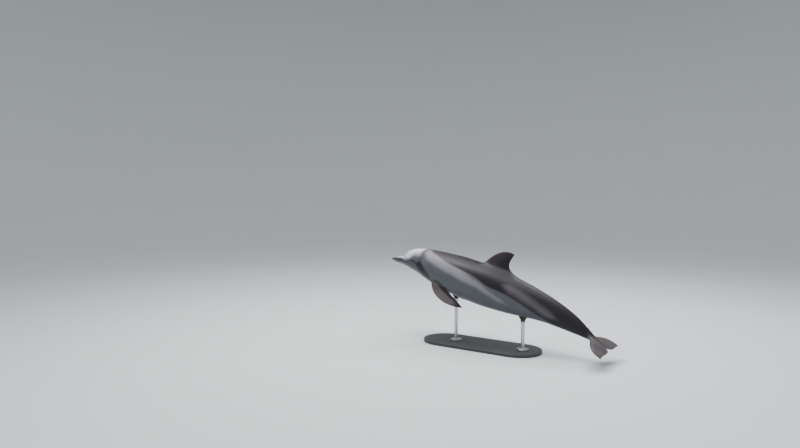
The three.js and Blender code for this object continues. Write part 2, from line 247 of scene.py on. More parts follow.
def body_place(points):
    """The reverse of body_point."""
    x, y, z = np.moveaxis(np.asarray(points, float), -1, 0)
    at = np.interp(y, CENTRE_Y, CENTRE_AT)
    for _ in range(8):
        pitch = pitch_at(at)
        dy = y - np.interp(at, CENTRE_AT, CENTRE_Y)
        dz = z - np.interp(at, CENTRE_AT, CENTRE_Z)
        at = at + dy * np.cos(pitch) - dz * np.sin(pitch)
    pitch = pitch_at(at)
    dy = y - np.interp(at, CENTRE_AT, CENTRE_Y)
    dz = z - np.interp(at, CENTRE_AT, CENTRE_Z)
    return at, x, dy * np.sin(pitch) + dz * np.cos(pitch)


def tip_round(at):
    """Share of the section's size that is left by the rounding of the beak's tip."""
    return dome(at / BEAK_ROUND, BEAK_BLUNT)


def top_at(at, sine):
    """Height of the upper side; the melon's crease runs back towards the sides."""
    m = MELON
    low = (1 - sine) ** 1.4
    end = tip_round(at)
    beak = TOP(np.minimum(at, m["crease"])) * end * (BEAK_LIP + (1 - BEAK_LIP) * end**2)
    onset = (at - m["crease"] - m["slant"] * low) / m["length"]
    melon = TOP(blended_max(at, m["crease"] + 60, 45)) * dome(onset, m["round"])
    return blended_max(beak, melon, (m["sharp"] + m["soft"] * low) * ease(at, 0, m["crease"]))


def section_point(at, turn):
    """Across and up of the smooth skin; turn 0 is the left side, a quarter the back."""
    at = np.asarray(at, float)
    angle = 2 * np.pi * np.asarray(turn, float)
    cosine, sine = np.cos(angle), np.sin(angle)
    tail = dome((BODY_END - at) / TAIL_ROUND)
    end = tip_round(at) * tail
    power = 2 / POWER(at)
    over = top_at(at, np.clip(sine, 0, 1)) * tail
    height = np.where(sine > 0, over, BOTTOM(at) * end)
    across = SIDE(at) * end * np.sign(cosine) * np.abs(cosine) ** power
    return across, height * np.sign(sine) * np.abs(sine) ** power


def smooth_skin(at, turn):
    return body_point(at, *section_point(at, turn))


def skin_normal(at, turn, step=0.6):
    at = np.asarray(at, float)
    ahead = smooth_skin(np.maximum(at - step, 0.05), turn)
    behind = smooth_skin(at + step, turn)
    around = 0.0015
    side = smooth_skin(at, turn + around) - smooth_skin(at, turn - around)
    return unit(np.cross(behind - ahead, side))


def turn_at_height(at, up, low=-0.249, high=0.249):
    """The turn on the left side where the skin stands at this height."""
    at, up = np.broadcast_arrays(np.asarray(at, float), np.asarray(up, float))
    low, high = np.full(at.shape, low), np.full(at.shape, high)
    for _ in range(34):
        middle = (low + high) / 2
        over = section_point(at, middle)[1] > up
        high, low = np.where(over, middle, high), np.where(over, low, middle)
    return (low + high) / 2


def lift_of(turn):
    """Quarter turns from the side: 0.25 on the back, -0.25 on the belly, both sides alike."""
    return 0.25 - np.abs((np.asarray(turn) + 0.25) % 1.0 - 0.5)


# ---------------------------------------------------------------- relief of the skin

EYE_SWELL = 2.6
# brow, hollow between brow and melon, and cheek: along, up, length over width, width, height
SWELLINGS = ((405, 62, 1.6, 30, 2.2), (348, 34, 1.3, 24, -2.4), (300, -46, 2.2, 22, 2.5))
NECK_FOLDS = ((512, 0.8), (541, 1.1), (574, 0.7))  # place and depth


def mouth_height(at):
    """Height of the mouth line over the centreline."""
    m = MOUTH
    smile = m["smile"] * ease(at, m["smile_from"], m["gape"])
    return m["start"] - m["fall"] * at / m["gape"] + smile + m["front"] * (1 - ease(at, 2, 26))


def mouth_turn(at):
    """Where the mouth line crosses the left side, and its fading course behind the gape."""
    at = np.asarray(at, float)
    gape = MOUTH["gape"]
    height = mouth_height(np.minimum(at, gape)) * (1 - ease(at, gape, gape + 230))
    side = np.where(height > 0, top_at(at, 0.0), BOTTOM(at) * tip_round(at))
    sine = np.clip(np.abs(height) / np.maximum(side, 1e-6), 0, 0.6) ** (POWER(at) / 2)
    return np.sign(height) * np.arcsin(sine) / (2 * np.pi)


def relief(at, turn):
    """How far the finished skin stands off the smooth one."""
    up = section_point(at, turn)[1]
    gape = MOUTH["gape"]
    inside = 1 - ease(at, gape - 14, gape + 8)
    off_line = up - mouth_height(np.minimum(at, gape))
    width = 1.6 + 1.2 * ease(at, 40, 220)
    depth = 1.6 + 1.8 * ease(at, 20, 200)
    out = -depth * inside * bump(off_line, width)
    lips = inside * (0.5 + 0.9 * ease(at, 60, 260))
    out += lips * bump(np.abs(off_line) - 2.9 * width, 1.8 * width)
    # a soft fold carries on from the gape under the eye
    fold = bump(up + 9 + 0.10 * (at - gape), 5) * ease(at, gape - 10, gape + 12)
    out -= 1.5 * (fold * (1 - ease(at, gape + 30, gape + 75)))
    out += EYE_SWELL * bump(np.hypot(at - EYE["at"], up - EYE["up"]), 34)
    for along, over, stretch, width, height in SWELLINGS:
        out += height * bump(np.hypot((at - along) / stretch, up - over), width)
    # the ridge of the back behind the fin, and the keel under the stock, which both run out
    lift, fading = lift_of(turn), 1 - 0.8 * ease(at, 2030, STOCK_END)
    off_back = (lift - 0.25) * 2 * np.pi * TOP(at)
    off_belly = (lift + 0.25) * 2 * np.pi * BOTTOM(at)
    out += 6.5 * bump(off_back, 13) * ease(at, 1440, 1560) * fading
    out += 5.0 * bump(off_belly, 12) * ease(at, 1760, 1900) * fading
    # shallow neck folds, on the throat and the lower sides
    low = 1 - ease(lift, -0.16, 0.02)
    for place, depth in NECK_FOLDS:
        out -= depth * low * bump(at - place - 0.22 * (up + 60), 5)
    return out


def skin_point(at, turn):
    return smooth_skin(at, turn) + skin_normal(at, turn) * relief(at, turn)[..., None]


# ---------------------------------------------------------------- fins


def foil(share, thickness):
    """Half thickness of a fin at a share of its chord, with a rounded rear edge."""
    full = 1.4845 * np.sqrt(share) - 0.63 * share
    fine = -1.758 * share**2 + 1.4215 * share**3 - 0.518 * share**4
    rounded = 3 * np.sqrt(np.maximum(share * (1 - share), 0))
    return np.maximum(full + fine, 0) * thickness + rounded


def fin_section(fin, span, share):
    """Behind and out of a fin's point in its own plane, and the half thickness there."""
    front, back = cubic(fin["front"], span), cubic(fin["back"], span)
    chord = np.linalg.norm(back - front, axis=-1)
    swell = 1 + fin["flare"] * np.maximum(0, 1 - span / fin["flare_over"]) ** 2
    point = front + (back - front) * share[..., None]
    return point[..., 0], point[..., 1], foil(share, chord * fin["thickness"] * swell)


def dorsal_point(span, share, side):
    back, out, thick = fin_section(DORSAL_FIN, span, share)
    at = DORSAL_FIN["at"] + back
    lean = FIN_WAVE * np.sin(out / 34.0) * ease(out, 40, 200)  # not quite straight
    return body_point(at, side * thick + lean, TOP(at) + out)


def flipper_point(span, share, side, mirror):
    back, out, thick = fin_section(FLIPPER, span, share)
    pitch = float(pitch_at(FLIPPER["at"]))
    behind = np.array([0, math.cos(pitch), -math.sin(pitch)])
    above = np.array([0, math.sin(pitch), math.cos(pitch)])
    across = np.array([1.0, 0, 0])
    sweep, splay, twist = (math.radians(FLIPPER[k]) for k in ("sweep", "splay", "twist"))
    reach = behind * math.cos(sweep) * math.cos(splay) - above * math.sin(sweep) * math.cos(splay)
    reach = reach + across * math.sin(splay)
    ahead = -behind * math.sin(sweep) - above * math.cos(sweep)
    turned = ahead * math.cos(twist) + np.cross(reach, ahead) * math.sin(twist)
    ahead = turned + reach * np.dot(reach, ahead) * (1 - math.cos(twist))
    flat = np.cross(reach, ahead)
    flat /= np.linalg.norm(flat)
    root = body_point(FLIPPER["at"], FLIPPER["across"], FLIPPER["up"])
    curl = FLIPPER_CURL * ease(out, 150, 430) ** 1.5  # the tip bows towards the body
    point = root + out[..., None] * reach - back[..., None] * ahead
    point = point + (side * thick + curl)[..., None] * flat
    point[..., 0] *= mirror
    return point


def fluke_point(span, share, side, mirror):
    back, out, thick = fin_section(FLUKE, span, share)
    tip = FLUKE["front"][3][1]
    droop = FLUKE["droop"] * (out / tip) ** 2
    return body_point(back, mirror * out, side * thick - droop)


def clearance(points):
    """How far points stand outside the smooth body."""
    at, across, up = body_place(points)
    power = POWER(at)
    height = np.where(up > 0, TOP(at), BOTTOM(at))
    ratio = ((np.abs(across) / SIDE(at)) ** power + (np.abs(up) / height) ** power) ** (1 / power)
    return (1 - 1 / np.maximum(ratio, 1e-6)) * np.hypot(across, up)


# ---------------------------------------------------------------- building the one skin


class Skin:
    """Vertices, faces and what the paint needs to know of each vertex: how far along the
    animal and up its side it is, its part, and for a fin its share of span and chord."""

    def __init__(self):
        self.points, self.tags, self.faces, self.joins = [], [], [], []
        self.count = 0

    def add(self, points, at=0.0, lift=0.0, part=BODY_PART, span=0.0, share=0.0):
        """Adds vertices; returns their numbers in the shape of the points."""
        points = np.asarray(points, float)
        shape = points.shape[:-1]
        tags = [np.broadcast_to(np.asarray(v, float), shape) for v in (at, lift, part, span, share)]
        self.points.append(points.reshape(-1, 3))
        self.tags.append(np.stack(tags, -1).reshape(-1, 5))
        first, self.count = self.count, self.count + len(self.points[-1])
        return np.arange(first, self.count).reshape(shape)

    def quads(self, a, b, c, d):
        self.faces.append(np.stack([np.ravel(v) for v in (a, b, c, d)], -1))

    def grid(self, numbers, closed, keep=None):
        """Faces between neighbouring rows; closed joins the last column to the first."""
        nxt = np.roll(numbers, -1, axis=1)
        a, b, c, d = numbers[:-1], numbers[1:], nxt[1:], nxt[:-1]
        if not closed:
            a, b, c, d = a[:, :-1], b[:, :-1], c[:, :-1], d[:, :-1]
        if keep is not None:
            a, b, c, d = a[keep], b[keep], c[keep], d[keep]
        self.quads(a, b, c, d)

    def fan(self, ring, point, at=0.0, lift=0.0, part=BODY_PART, span=0.0, share=0.0):
        """Closes a ring with triangles to a point; a missing fourth corner is -1."""
        pole = self.add(np.asarray(point, float)[None], at, lift, part, span, share)[0]
        nxt = np.roll(ring, -1)
        self.quads(ring, nxt, np.full_like(ring, pole), np.full_like(ring, -1))

    def cloud(self):
        return np.concatenate(self.points), np.concatenate(self.tags)


def loop_of_hole(numbers, i0, i1, j0, j1, wrap):
    """The ring of grid vertices round a rectangular hole.

    It starts at the middle of the front edge and goes down the low-numbered side first.
    """
    middle = (j0 + j1) // 2
    path = [(i0, j) for j in range(middle, j0, -1)]
    path += [(i, j0) for i in range(i0, i1)]
    path += [(i1, j) for j in range(j0, j1)]
    path += [(i, j1) for i in range(i1, i0, -1)]
    path += [(i0, j) for j in range(j1, middle, -1)]
    return np.array([numbers[i, j % wrap] for i, j in path])


def best_match(ring, other):
    """How far to roll a ring of points so that it lies closest to the other."""
    costs = [np.sum((np.roll(ring, -k, axis=0) - other) ** 2) for k in range(len(ring))]
    return int(np.argmin(costs))


def across_ring(ring, toward):
    """Each vertex's direction, made square to the ring."""
    along = unit(np.roll(ring, -1, axis=0) - np.roll(ring, 1, axis=0))
    square = unit(toward - along * np.sum(toward * along, axis=1, keepdims=True))
    return unit(smooth_loop(square, 3))


def bridge(skin, ring_a, toward_a, ring_b, toward_b, rings):
    """Fills between two rings of vertices with a surface that leaves each along "toward".

    Both rings run the same way round. Returns the numbers of all its rings, ends included.
    """
    points, tags = skin.cloud()
    a, b = points[ring_a], points[ring_b]
    reach = np.linalg.norm(b - a, axis=1, keepdims=True)
    ta, tb = across_ring(a, toward_a) * reach, across_ring(b, toward_b) * reach
    rows = [ring_a]
    for k in range(1, rings):
        t = k / rings
        h00, h10 = 2 * t**3 - 3 * t**2 + 1, t**3 - 2 * t**2 + t
        h01, h11 = -2 * t**3 + 3 * t**2, t**3 - t**2
        point = h00 * a + h10 * ta + h01 * b + h11 * tb
        tag = tags[ring_a] * (1 - t) + tags[ring_b] * t
        tag[:, 4] = tags[ring_b, 4]
        rows.append(skin.add(point, *tag.T))
    rows.append(ring_b)
    numbers = np.stack(rows)
    skin.grid(numbers, closed=True)
    return numbers


ROW_SPACINGS = (
    (0.5, 4), (0.8, 9), (1.6, 20), (3, 60), (5, 132), (2.4, 215), (2.9, 340), (3.8, 520),
    (6, 640), (10, 1000), (10, 1500), (11, STOCK_END),
)
COLUMNS = 176


def body_rows():
    """How far along the animal each row of the grid lies."""
    rows = [0.1]
    for spacing, to in ROW_SPACINGS:
        steps = max(1, round((to - rows[-1]) / spacing))
        rows += list(rows[-1] + (to - rows[-1]) * np.arange(1, steps + 1) / steps)
    return np.array(rows)


def body_turns(at, columns=COLUMNS):
    """Turns of the grid's columns. Two columns follow the mouth, the columns crowd to it
    ahead of the gape, and about the eyes they crowd to the sides and the back."""
    lips = 0.78 * ease(at, 4, 50) * (1 - ease(at, 325, 400))
    eyes = 0.5 * ease(at, 345, 410) * (1 - ease(at, 500, 660))
    v = np.arange(columns) / columns
    x = (2 * v) % 1.0
    even = x - lips / (2 * np.pi) * np.sin(2 * np.pi * x)
    even -= eyes / (4 * np.pi) * np.sin(4 * np.pi * x)
    mouth = mouth_turn(at)
    over = mouth + (0.5 - 2 * mouth) * even
    under = 0.5 - mouth + (0.5 + 2 * mouth) * even
    return np.where(v < 0.5, over, under)


def ring_place(rows, ring, columns, centre=0.0):
    """Along and turn of the grid's vertices, with turns counted near the centre's."""
    at = rows[ring // columns]
    turn = np.array([body_turns(rows[n // columns], columns)[n % columns] for n in ring])
    return at, turned_near(turn, centre)


def add_opening(skin, ring, local, place, edge_at, lift_at, steps, walls):
    """Closes a hole of the grid with rings that run in to an opening and down its walls.

    local gives a vertex's two coordinates round the centre, and place turns coordinates
    back into a point of the skin with its normal, along and turn. edge_at is the opening's
    edge for an angle, lift_at the relief for coordinates, and walls are (shrink, depth).
    """
    start = local(skin.cloud()[0][ring])
    edge = edge_at(np.arctan2(start[:, 1], start[:, 0]))
    rows = [ring]
    for t in steps:  # shares of the way in to the edge
        spot = start * (1 - t) + edge * t
        point, normal, at, turn = place(spot)
        point = point + normal * lift_at(spot)[:, None]
        rows.append(skin.add(point, at, lift_of(turn), BODY_PART))
    brink = lift_at(edge)[:, None]
    for shrink, depth in walls:
        point, normal, at, turn = place(edge * shrink)
        rows.append(skin.add(point + normal * (brink - depth), at, lift_of(turn), INNER_PART))
    skin.grid(np.stack(rows), closed=True)
    middle = skin.cloud()[0][rows[-1]].mean(axis=0)
    skin.fan(rows[-1], middle, at.mean(), float(lift_of(turn.mean())), INNER_PART)


def eye_middle():
    """The eyeball's centre in the solid model, as along, across and up."""
    sine = EYE["up"] / float(top_at(EYE["at"], 0.0))
    across = float(SIDE(EYE["at"])) * math.sqrt(1 - sine * sine)
    return EYE["at"], across + EYE["proud"] - EYE["radius"], EYE["up"]


def add_eye_opening(skin, numbers, rows, settings, mirror):
    """Opens the grid for an eye with lids round it; returns the hole's rows and columns."""
    columns, (along, high) = numbers.shape[1], EYE["room"]
    i0, i1 = np.searchsorted(rows, [EYE["at"] - along, EYE["at"] + along])
    row = int(np.searchsorted(rows, EYE["at"]))
    heights = section_point(rows[row], body_turns(rows[row], columns))[1]
    left = [j for j in range(-columns // 4, columns // 4) if abs(heights[j] - EYE["up"]) < high]
    j0, j1 = min(left), max(left)
    j1 += (j1 - j0) % 2
    if mirror < 0:
        j0, j1 = columns // 2 - j1, columns // 2 - j0
    ring = loop_of_hole(numbers, i0, i1, j0, j1, columns)

    def local(points):
        at, _, up = body_place(points)
        return np.stack([at - EYE["at"], up - EYE["up"]], -1)

    def place(spot):
        at = EYE["at"] + spot[:, 0]
        turn = turn_at_height(at, EYE["up"] + spot[:, 1])
        point, normal = skin_point(at, turn), skin_normal(at, turn)
        if mirror < 0:
            point, normal, turn = point * (-1, 1, 1), normal * (-1, 1, 1), 0.5 - turn
        return point, normal, at, turn

    long = settings.lid_length / MM / 2
    above, below = settings.lid_upper / MM, settings.lid_lower / MM
    rim, tilt = settings.lid_rim / MM, EYE["tilt"]

    def edge_at(angle):
        cosine, sine = np.cos(angle), np.sin(angle)
        high = np.where(sine > 0, above, below)
        power = np.where(sine > 0, 1.9, 1.7)
        radius = ((np.abs(cosine) / long) ** power + (np.abs(sine) / high) ** power) ** (-1 / power)
        return np.stack([radius * cosine, radius * sine + tilt * radius * cosine], -1)

    def lift_at(spot):
        a, b = spot[:, 0], spot[:, 1] - tilt * spot[:, 0]
        angle = np.arctan2(b, a)
        out = np.hypot(a, b)
        edge = edge_at(angle)
        rest = np.hypot(edge[:, 0], edge[:, 1] - tilt * edge[:, 0])
        off = np.maximum(out - rest, 0)
        over = ease(np.sin(angle), -0.3, 0.5)
        ball = EYE["radius"] - np.sqrt(np.maximum(EYE["radius"] ** 2 - rest**2, 0))
        brink = np.maximum(EYE["proud"] - EYE_SWELL - ball + 0.35, -2.6)
        lift = brink * bump(off, 5.5)
        lift += rim * bump(off - 1.5, 1.5) * (0.75 + 0.35 * over)
        lift += 0.9 * over * bump(off - 4.2, 2.0)
        lift -= (1.5 * over + 0.8 * (1 - over)) * bump(off - 6.9, 1.25)
        lift += 0.7 * bump(off - 9.4, 2.0)
        lift -= 0.35 * (1 - over) * bump(off - 11.5, 1.2)
        # creases that run on from both corners
        front = bump(b + 1.2 + 0.16 * (a + long), 1.3) * ease(-a, long - 3, long + 3)
        rear = bump(b + 1.0 + 0.10 * (a - long), 1.2) * ease(a, long - 3, long + 3)
        front *= 1 - ease(-a, long + 8, long + 17)
        rear *= 1 - ease(a, long + 6, long + 14)
        return lift - 1.1 * front - 0.9 * rear

    steps = [0.14, 0.28, 0.4, 0.5, 0.58, 0.64, 0.7, 0.75, 0.8, 0.845, 0.885, 0.92, 0.95, 0.975, 1.0]
    walls = [(0.985, 0.8), (0.94, 2.4), (0.86, 5.5), (0.7, 9.0)]
    add_opening(skin, ring, local, place, edge_at, lift_at, steps, walls)
    return (i0, i1, j0, j1)


def add_blowhole(skin, numbers, rows, settings):
    """Opens the grid for the blowhole's slit; returns the hole's rows and columns."""
    columns, (ahead, behind, room) = numbers.shape[1], BLOWHOLE["room"]
    i0, i1 = np.searchsorted(rows, [BLOWHOLE["at"] - ahead, BLOWHOLE["at"] + behind])
    middle = columns // 4
    row = int(np.searchsorted(rows, BLOWHOLE["at"]))
    across = section_point(rows[row], body_turns(rows[row], columns))[0]
    half = max(j for j in range(1, 30) if abs(across[middle - j]) < room)
    ring = loop_of_hole(numbers, i0, i1, middle - half, middle + half, columns)
    wide, bow, centre = (BLOWHOLE[k] for k in ("half_width", "bow", "centre"))
    slit = settings.blowhole_gap / MM / 2

    def local(points):
        at, x, _ = body_place(points)
        return np.stack([at - BLOWHOLE["at"] + centre, x], -1)

    def place(spot):
        at = BLOWHOLE["at"] - centre + spot[:, 0]
        x = spot[:, 1]
        sine = np.sign(x) * (np.abs(x) / SIDE(at)) ** (POWER(at) / 2)
        turn = 0.25 - np.arcsin(np.clip(sine, -1, 1)) / (2 * np.pi)
        return skin_point(at, turn), skin_normal(at, turn), at, turn

    def edge_at(angle):
        cosine, sine = np.cos(angle), np.sin(angle)
        x = wide * np.sign(sine) * np.abs(sine) ** 0.85
        thin = slit * np.sign(cosine) * np.sqrt(np.maximum(1 - (x / wide) ** 2, 0)) ** 0.8
        return np.stack([centre - bow * (x / wide) ** 2 + thin, x], -1)

    def lift_at(spot):
        x = np.clip(spot[:, 1] / wide, -1, 1)
        bow_at = centre - bow * x**2
        off = np.hypot(spot[:, 0] - bow_at, np.maximum(np.abs(spot[:, 1]) - wide, 0))
        behind = ease(spot[:, 0] - bow_at, -4, 4)
        lift = (1.7 - 0.4 * behind) * bump(off - 3.4, 4.2) + 0.5 * bump(off, 17)
        lift -= 1.5 * bump(off, 1.7)
        return lift - 0.7 * bump(off - 11.5, 2.2) * (1 - behind)

    steps = [0.16, 0.3, 0.42, 0.52, 0.61, 0.69, 0.76, 0.82, 0.87, 0.91, 0.945, 0.975, 1.0]
    walls = [(0.99, 1.5), (0.97, 4.0), (0.95, 7.5)]
    add_opening(skin, ring, local, place, edge_at, lift_at, steps, walls)
    return (i0, i1, middle - half, middle + half)


def fin_columns(count):
    """Share of the chord and side of each column round a fin, from its front edge."""
    k = np.arange(count)
    x = 1 - np.abs(1 - 2 * k / count)
    share = 0.62 * (1 - np.cos(np.pi * x)) / 2 + 0.38 * x
    return share, np.where(k < count / 2, 1.0, -1.0)


def smooth_loop(values, rounds):
    for _ in range(rounds):
        values = (np.roll(values, 1, axis=0) + 2 * values + np.roll(values, -1, axis=0)) / 4
    return values


def add_fin(
    skin, numbers, rows, point_of, clear, collar, ahead, margin, fin_rows, fillet_rows, part
):
    """Grows a fin: opens the grid round its root, lays a collar of skin up to a distance
    from the root, which is more ahead of it, and fills from there to the fin."""
    columns, count = numbers.shape[1], FIN_COLUMNS
    share, side = fin_columns(count)
    test = np.linspace(0, 0.72, 120)  # spans at which the fin's distance from the body is taken
    spans = np.broadcast_to(test[:, None], (len(test), count))
    out = clearance(point_of(spans, *(np.broadcast_to(v, spans.shape) for v in (share, side))))

    def crossing(level):
        """The span at which each column gets clear of the body by this much."""
        last = np.array([np.max(np.where(out[:, k] < level)[0], initial=0) for k in range(count)])
        last = np.minimum(last, len(test) - 2)
        low, high = out[last, np.arange(count)], out[last + 1, np.arange(count)]
        rest = np.clip((level - low) / np.maximum(high - low, 1e-6), 0, 1)
        return test[last] + rest * (test[1] - test[0])

    foot = point_of(crossing(0.0), share, side)
    at, across, up = body_place(foot)
    turn = np.arctan2(up / np.where(up > 0, TOP(at), BOTTOM(at)), across / SIDE(at)) / (2 * np.pi)
    centre = float(np.angle(np.mean(np.exp(2j * np.pi * turn))) / (2 * np.pi))
    around = 2 * np.pi * float(np.mean(np.hypot(across, up)))
    foot = smooth_loop(np.stack([at, turned_near(turn, centre) * around], -1), 4)
    tangent = np.roll(foot, -1, axis=0) - np.roll(foot, 1, axis=0)
    outward = unit(np.stack([tangent[:, 1], -tangent[:, 0]], -1))
    if np.sum(outward * (foot - foot.mean(axis=0))) < 0:
        outward = -outward
    outward = smooth_loop(outward, 3)
    rim = smooth_loop(foot + (collar + ahead * np.maximum(-outward[:, :1], 0) ** 2) * outward, 8)

    low, high = rim.min(axis=0) - margin, rim.max(axis=0) + margin
    i0, i1 = np.searchsorted(rows, [low[0], high[0]])
    up_middle = turned_near(body_turns(rows[(i0 + i1) // 2], columns), centre) * around
    inside = np.where((up_middle > low[1]) & (up_middle < high[1]))[0]
    inside = (inside - inside[0] + columns // 2) % columns - columns // 2 + inside[0]
    j0, j1 = int(inside.min()) - 1, int(inside.max()) + 1
    j1 += (j1 - j0) % 2
    ring = loop_of_hole(numbers, i0, i1, j0, j1, columns)
    ring_at, ring_turn = ring_place(rows, ring, columns, centre)
    ring_flat = np.stack([ring_at, ring_turn * around], -1)

    # give the fin as many columns as the hole, in the order of the hole's ring
    many = len(ring)
    position = np.arange(many) / many * count

    def pick(values):
        loops = [np.append(v, v[0]) for v in np.atleast_2d(np.asarray(values).T)]
        return np.stack([np.interp(position, np.arange(count + 1), loop) for loop in loops], -1)

    rim_m, foot_m = pick(rim), pick(foot)
    start_m = smooth_loop(pick(crossing(clear))[:, 0], 10)
    share_m, side_m = fin_columns(many)
    order = np.arange(many)
    trials = []
    for way in (order, order[::-1]):
        way = np.roll(way, -best_match(rim_m[way], ring_flat))
        trials.append((np.sum((rim_m[way] - ring_flat) ** 2), way))
    order = min(trials, key=lambda trial: trial[0])[1]
    rim_m, foot_m, start_m = rim_m[order], foot_m[order], start_m[order]
    share_m, side_m = share_m[order], side_m[order]

    rings = [ring]
    for t in COLLAR_STEPS:
        along, turn = (ring_flat * (1 - t) + rim_m * t).T
        turn = turn / around
        rings.append(skin.add(skin_point(along, turn), along, lift_of(turn), BODY_PART))
    skin.grid(np.stack(rings), closed=True)

    g = np.linspace(0, 1, fin_rows + 1)[:-1]
    g = 1 - (1 - g) ** 1.25  # the rings crowd a little to the tip
    span = start_m[None] + (BLADE_END - start_m[None]) * g[:, None] / g[-1]
    shares, sides = np.broadcast_to(share_m, span.shape), np.broadcast_to(side_m, span.shape)
    surface = point_of(span, shares, sides)
    body_at, _, _ = body_place(surface)
    fin_numbers = skin.add(surface, body_at, lift_of(centre), part, span, shares)
    skin.grid(fin_numbers, closed=True)
    tip = point_of(np.array([1.0]), np.array([0.5]), np.array([0.0]))[0]
    skin.fan(fin_numbers[-1], tip, body_at[-1].mean(), lift_of(centre), part, 1.0, 0.5)
    at_foot, at_rim = (skin_point(flat[:, 0], flat[:, 1] / around) for flat in (foot_m, rim_m))
    inward, outward = at_foot - at_rim, surface[1] - surface[0]
    joint = bridge(skin, rings[-1], inward, fin_numbers[0], outward, fillet_rows)
    skin.joins.append(np.concatenate([np.stack(rings[1:]).ravel(), joint[1:].ravel()]))
    return (i0, i1, j0, j1)


def add_flukes(skin, last_rings):
    """The two flukes as one blade, opened at the middle of its front for the stock."""
    # rows over half the hole and over the rest of a fluke, and columns round a fluke; the
    # hole's ring has as many vertices as the stock's
    inner, outer, around = 16, 42, 112
    hole = 0.135  # half the hole's width, as a share of a fluke's span
    near = np.linspace(0, hole, inner + 1)
    far = hole + (1 - hole) * (1 - (1 - np.linspace(0, 1, outer + 1)) ** 1.2)[1:]
    half = np.concatenate([near, far[:-1]])
    middle = len(half) - 1
    # u runs from tip to tip and v from the rear edge over the front edge back to it; both
    # are 1 at the hole, whose corners are rounded off
    across, round_it = np.arange(-middle, middle + 1) / inner, np.arange(around) / (around / 4) - 2
    u, v = np.meshgrid(across, round_it, indexing="ij")
    square, round_ = np.maximum(np.abs(u), np.abs(v)), np.maximum(np.hypot(u, v), 1e-9)
    pull = 1 - (1 - square / round_) * (1 - ease(square, 1.0, 1.95))
    u, v = u * pull, v * pull
    spans = np.interp(np.abs(u) * inner, np.arange(len(half)), half)
    shares = (1 - np.cos(np.pi / 2 * v)) / 2
    sides = np.where(np.abs(np.abs(v) - 1) > 1 - 1e-9, 0.0, -np.sign(v))
    mirrors = np.where(u < 0, -1.0, 1.0)
    blade = fluke_point(spans, shares, sides, mirrors)
    at, _, _ = body_place(blade)
    numbers = skin.add(blade, at, 0.25 * sides, FLUKE_PART, spans, shares)
    i0, i1, j0, j1 = middle - inner, middle + inner, around // 4, 3 * around // 4
    cells = np.ones((2 * middle, around), bool)
    cells[i0:i1, j0:j1] = False
    skin.grid(numbers, closed=True, keep=cells)
    for end, mirror in ((0, -1.0), (-1, 1.0)):
        tip = fluke_point(*(np.array([v]) for v in (1.0, 0.5, 0.0, mirror)))[0]
        skin.fan(numbers[end], tip, float(at[end].mean()), 0.0, FLUKE_PART, 1.0, 0.5)

    # the hole's ring, from the left fluke's front edge over the top to the right and back
    path = [(i1, j) for j in range(around // 2, j0, -1)] + [(i, j0) for i in range(i1, i0, -1)]
    path += [(i0, j) for j in range(j0, j1)] + [(i, j1) for i in range(i0, i1)]
    path += [(i1, j) for j in range(j1, around // 2, -1)]
    out = [(i + (i == i1) - (i == i0), j - (j == j0) + (j == j1)) for i, j in path]
    ring = np.array([numbers[i, j] for i, j in path])
    beyond = np.array([numbers[i, j] for i, j in out])
    points, _ = skin.cloud()
    leave = points[last_rings[-1]] - points[last_rings[-2]]
    joint = bridge(skin, last_rings[-1], leave, ring, points[beyond] - points[ring], 16)
    round_hole = numbers[(square > 0.99) & (square < 1.3)]
    join = np.concatenate([last_rings[-4:].ravel(), joint[1:-1].ravel(), round_hole])
    skin.joins.append(np.unique(join))


def edges_of(faces):
    """Each edge once, as the numbers of its two vertices."""
    quads = faces[faces[:, 3] >= 0]
    triangles = faces[faces[:, 3] < 0][:, :3]
    edges = [quads[:, [a, b]] for a, b in ((0, 1), (1, 2), (2, 3), (3, 0))]
    edges += [triangles[:, [a, b]] for a, b in ((0, 1), (1, 2), (2, 0))]
    return np.unique(np.sort(np.concatenate(edges), axis=1), axis=0)


def fair(points, edges, free, tension=0.003, rounds=400):
    """Places the free vertices so that the surface carries on smoothly from all round them.
    It makes least the vertices' offsets from their neighbours' means, and by a share the
    edges' lengths, by conjugate gradients."""
    both = np.concatenate([edges, edges[:, ::-1]])
    shell = np.zeros(len(points), int)
    shell[free] = 3
    for level in (2, 1):
        beyond = both[shell[both[:, 0]] == level + 1, 1]
        shell[beyond] = np.maximum(shell[beyond], level)
    local = np.where(shell > 0)[0]
    place = np.full(len(points) + 1, -1)
    place[local] = np.arange(len(local))
    pairs = both[shell[both[:, 0]] > 0]
    pairs = pairs[np.argsort(pairs[:, 0], kind="stable")]
    starts = np.searchsorted(pairs[:, 0], local)
    degree = np.diff(np.append(starts, len(pairs)))
    column = np.arange(len(pairs)) - np.repeat(starts, degree)
    around = np.full((len(local), degree.max()), len(local))
    around[place[pairs[:, 0]], column] = place[pairs[:, 1]]  # those outside are -1, the spare row
    count = degree[:, None].astype(float)
    measured = (shell[local] > 1)[:, None].astype(float)
    moving = (shell[local] > 2)[:, None].astype(float)
    total = lambda values: np.concatenate([values, np.zeros((1, 3))])[around].sum(axis=1)

    def pull(values):
        around_it = total(values)
        offset = measured * (around_it / count - values)
        return total(offset / count) - offset + tension * (count * values - around_it)

    place_now = points[local].copy()
    rest = -moving * pull(place_now)
    step, size = rest.copy(), np.sum(rest * rest, axis=0)
    limit = 1e-9 * size
    for _ in range(rounds):
        if np.all(size <= limit):
            break
        moved = moving * pull(step)
        length = size / np.maximum(np.sum(step * moved, axis=0), 1e-30)
        place_now += length * step
        rest -= length * moved
        bigger = np.sum(rest * rest, axis=0)
        step = rest + bigger / np.maximum(size, 1e-30) * step
        size = bigger
    points = points.copy()
    points[local] = place_now
    return points


